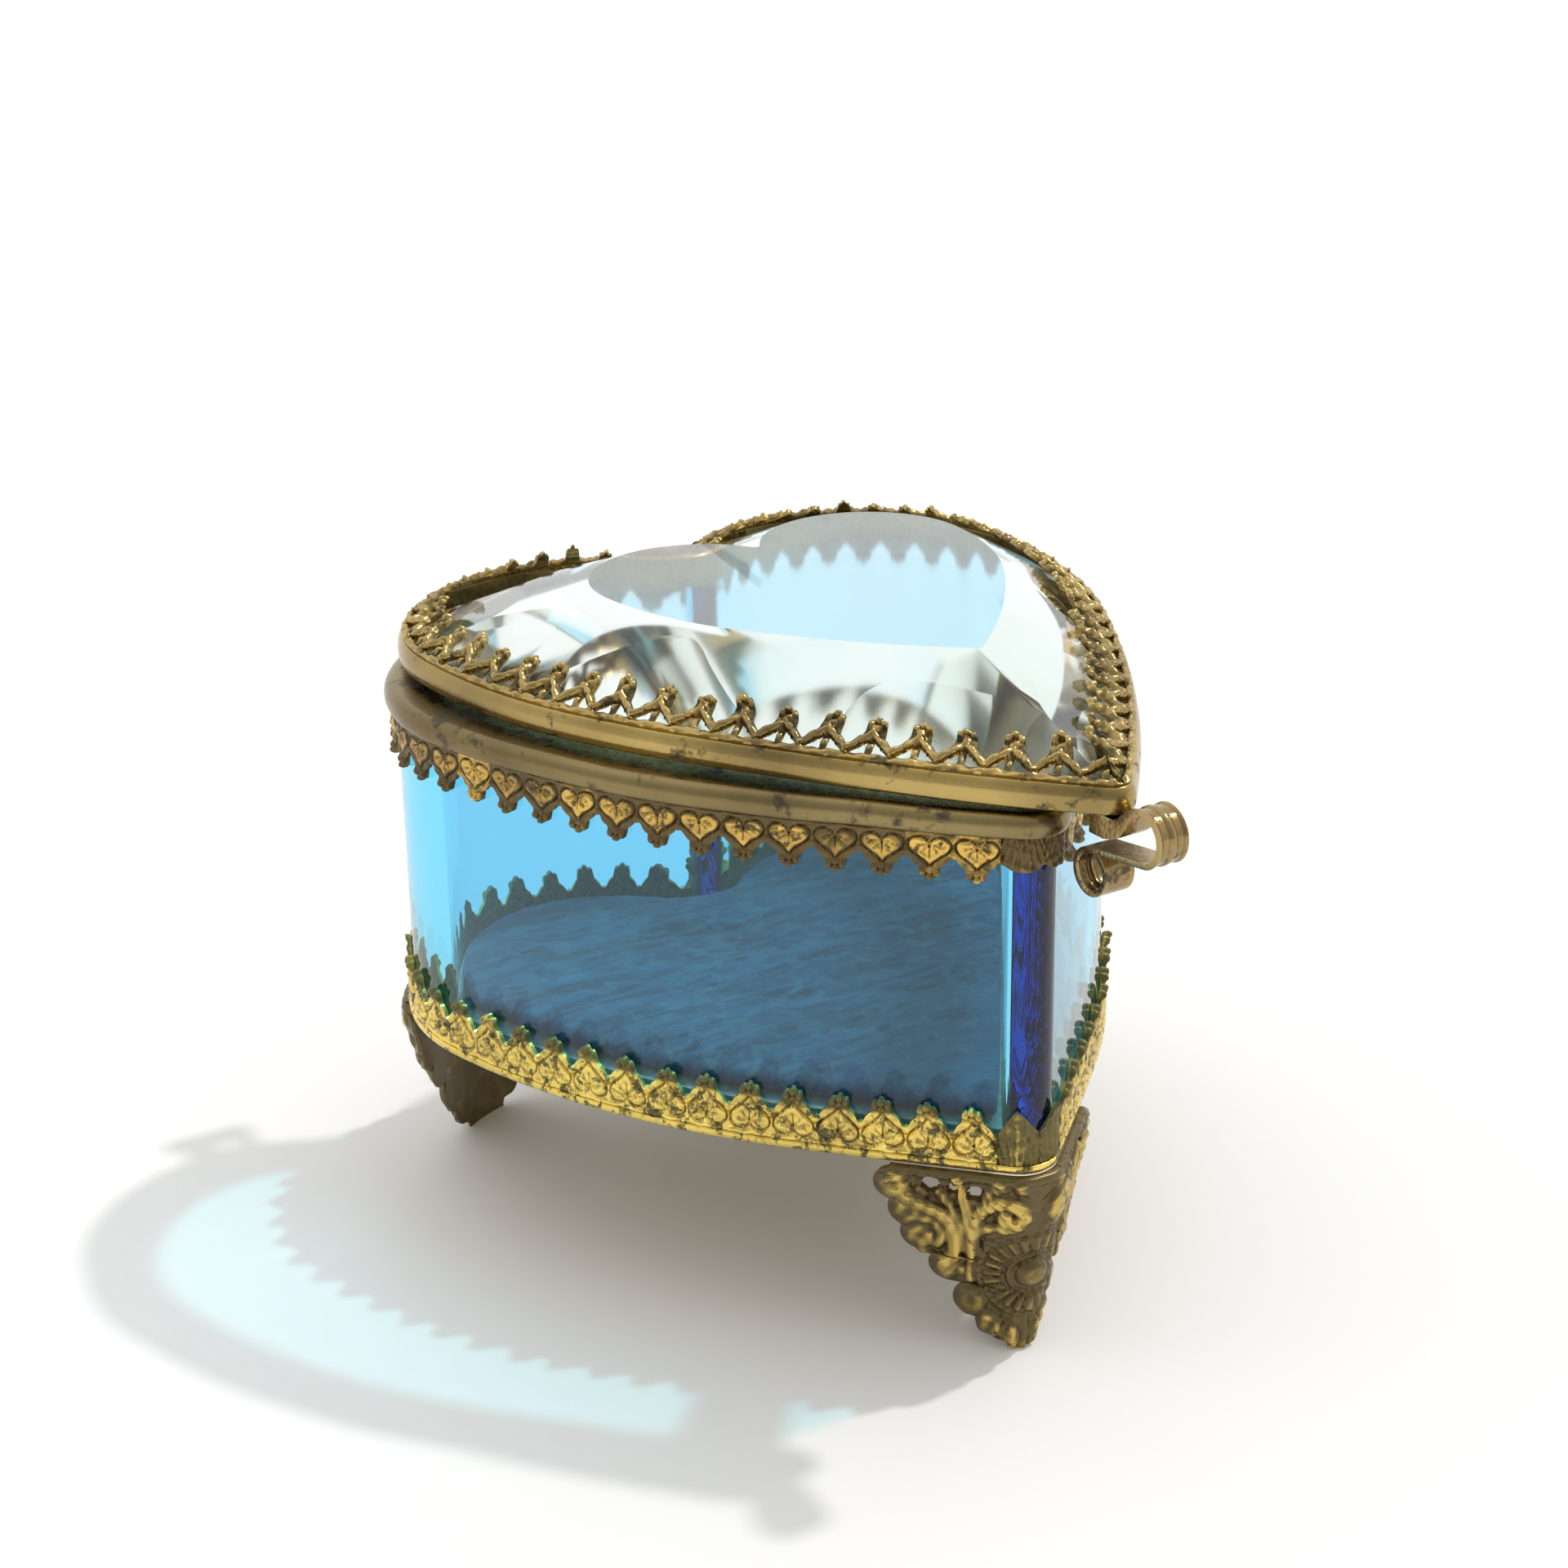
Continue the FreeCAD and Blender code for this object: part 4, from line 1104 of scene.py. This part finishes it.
# inside outline of the wall, rounder at the point than the outside one
INNER = Heart((17.0, 18.2), 23.0, 15, 84.0, 29, 500.0, 6.4, 1.2)


# the wall: outside and inside offsets, and heights
WALL_OUTSIDE = -0.9
WALL_INSIDE = -0.9 - 4.2
WALL_BOTTOM = 22.22
WALL_TOP = 58.18
# from this offset inwards the wall follows INNER, with this many points round the corner at the tip
INNER_FROM = -3
TIP_POINTS = 30


def glass_case():
    """Cast glass wall, its inside corner rounder than its outside one."""
    section = rounded([(WALL_OUTSIDE, WALL_BOTTOM), (WALL_OUTSIDE, WALL_TOP),
                       (WALL_INSIDE, WALL_TOP), (WALL_INSIDE, WALL_BOTTOM)], 0.5, 4)
    dense = []
    for p, q in zip(section, section[1:] + section[:1]):
        steps = max(1, int(np.linalg.norm(q - p) / 4))
        dense += [p + (q - p) * k / steps for k in range(steps)]
    counts = [math.ceil(r * abs(a - b) / 0.5) for _, _, r, a, b, _ in reversed(BODY.arcs(0.0)[:4])]
    rows = []
    for offset, z in dense:
        p, _ = (BODY if offset > INNER_FROM else INNER).loop(offset, counts=[TIP_POINTS] + counts)
        rows.append(np.column_stack([p, np.full(len(p), z)]))
    v = np.stack(rows, 1)
    faces = grid_faces(v.shape[0], v.shape[1], True, True)
    make_object("glass_case", placed(v), faces, BLUE, "case", replaces=("glass_wall",))


glass_case()
# sections as (offset from the outline, height above the foot of the piece)
LEDGE = ((-0.45, 0.01), (-0.16, 0.2), (-0.1, 0.6), (-0.14, 0.97), (-6.9, 0.97), (-6.9, 0.01))
BEAD = (
    (-0.25, 0.0), (0.15, 0.15), (0.33, 0.6), (0.35, 1.3), (0.2, 1.9), (-0.15, 2.35), (-0.7, 2.58),
    (-5.2, 2.6), (-5.7, 2.3), (-5.72, -1.1), (-5.2, -1.1), (-5.2, 1.42), (-0.82, 1.42), (-0.82, 0.0),
)
BAND = (
    (-0.6, 0.02), (-0.15, 0.25), (0.0, 0.9), (0.0, 1.7), (-0.2, 2.5), (-0.45, 2.88), (-0.8, 2.88),
    (-0.82, 0.78), (-4.2, 0.78), (-4.2, 0.02),
)
sweep("ledge", BODY, rounded(raised(LEDGE, MOUNT_BOTTOM), 0.15), GILT, "case",
      replaces=("lower_mount",))
sweep("bead", BODY, rounded(raised(BEAD, BODY_TOP - 2.6), 0.25), AGED, "case",
      replaces=("upper_mount",), wobble=0.09)
sweep("lid_band", LID, rounded(raised(BAND, LID_BOTTOM), 0.2), LID_BRASS, "lid", lid=True,
      replaces=("lid_frame",), wobble=0.06)


# ---------------- floor, light, camera


# direction of the brightest part of the sky, and of the sun
BRIGHT_SIDE = (0.47, 0.85, 0.23)
SUNWARD = (0.551, 0.004, 0.834)


def floor():
    """Round sheet of pale paper under the box."""
    paper, nt, bsdf = new_material("floor_paper")
    fill(nt, bsdf, {"Base Color": (0.90, 0.89, 0.88, 1), "Roughness": 0.9})
    bm = bmesh.new()
    bmesh.ops.create_circle(bm, cap_ends=True, radius=6.0, segments=64)
    linked("floor", bm, paper)


floor()
world = bpy.data.worlds.new("studio")
bpy.context.scene.world = world
world.use_nodes = True
sky = world.node_tree
view = node(sky, "ShaderNodeTexCoord").outputs["Generated"]
toward = node(sky, "ShaderNodeVectorMath", {0: view, 1: BRIGHT_SIDE}, operation="DOT_PRODUCT").outputs["Value"]
share = node(sky, "ShaderNodeMapRange", {"Value": toward, "From Min": -1.0, "From Max": 1.0}).outputs[0]
soft = ramp(sky, share, [(0.0, (0.38, 0.375, 0.365)), (0.38, (0.70, 0.695, 0.68)), (0.60, (1.06, 1.06, 1.05)),
                         (0.85, (1.08, 1.08, 1.08)), (1.0, (1.12, 1.13, 1.14))])
sky.links.new(soft, sky.nodes["Background"].inputs["Color"])

sun = bpy.data.lights.new("key", "SUN")
sun.energy = 1.2
sun.angle = math.radians(2.4)
sun.color = (1.0, 0.985, 0.96)
key = bpy.data.objects.new("key", sun)
key.rotation_euler = Vector(SUNWARD).to_track_quat("Z", "Y").to_euler()
bpy.context.scene.collection.objects.link(key)

camera = bpy.data.cameras.new("camera")
camera.sensor_width = 36
camera.lens = 67.96875
camera.shift_x = 0.01390625
camera.shift_y = -0.00528646
camera.clip_start = 0.01
eye = bpy.data.objects.new("camera", camera)
right = Vector((0.8722, -0.4888, -0.0171))
up = Vector((0.193, 0.3117, 0.9304))
back = Vector((-0.4495, -0.8148, 0.3662))
turn = Matrix((right, up, back)).transposed().to_4x4()
eye.matrix_world = Matrix.Translation(Vector(placed((-146.61, -251.58, 164.08)))) @ turn
bpy.context.scene.collection.objects.link(eye)
bpy.context.scene.camera = eye
scene = bpy.context.scene
scene.view_settings.view_transform = "Standard"
scene.cycles.max_bounces = 32
scene.cycles.glossy_bounces = 16
scene.cycles.transmission_bounces = 32
scene.cycles.transparent_max_bounces = 32
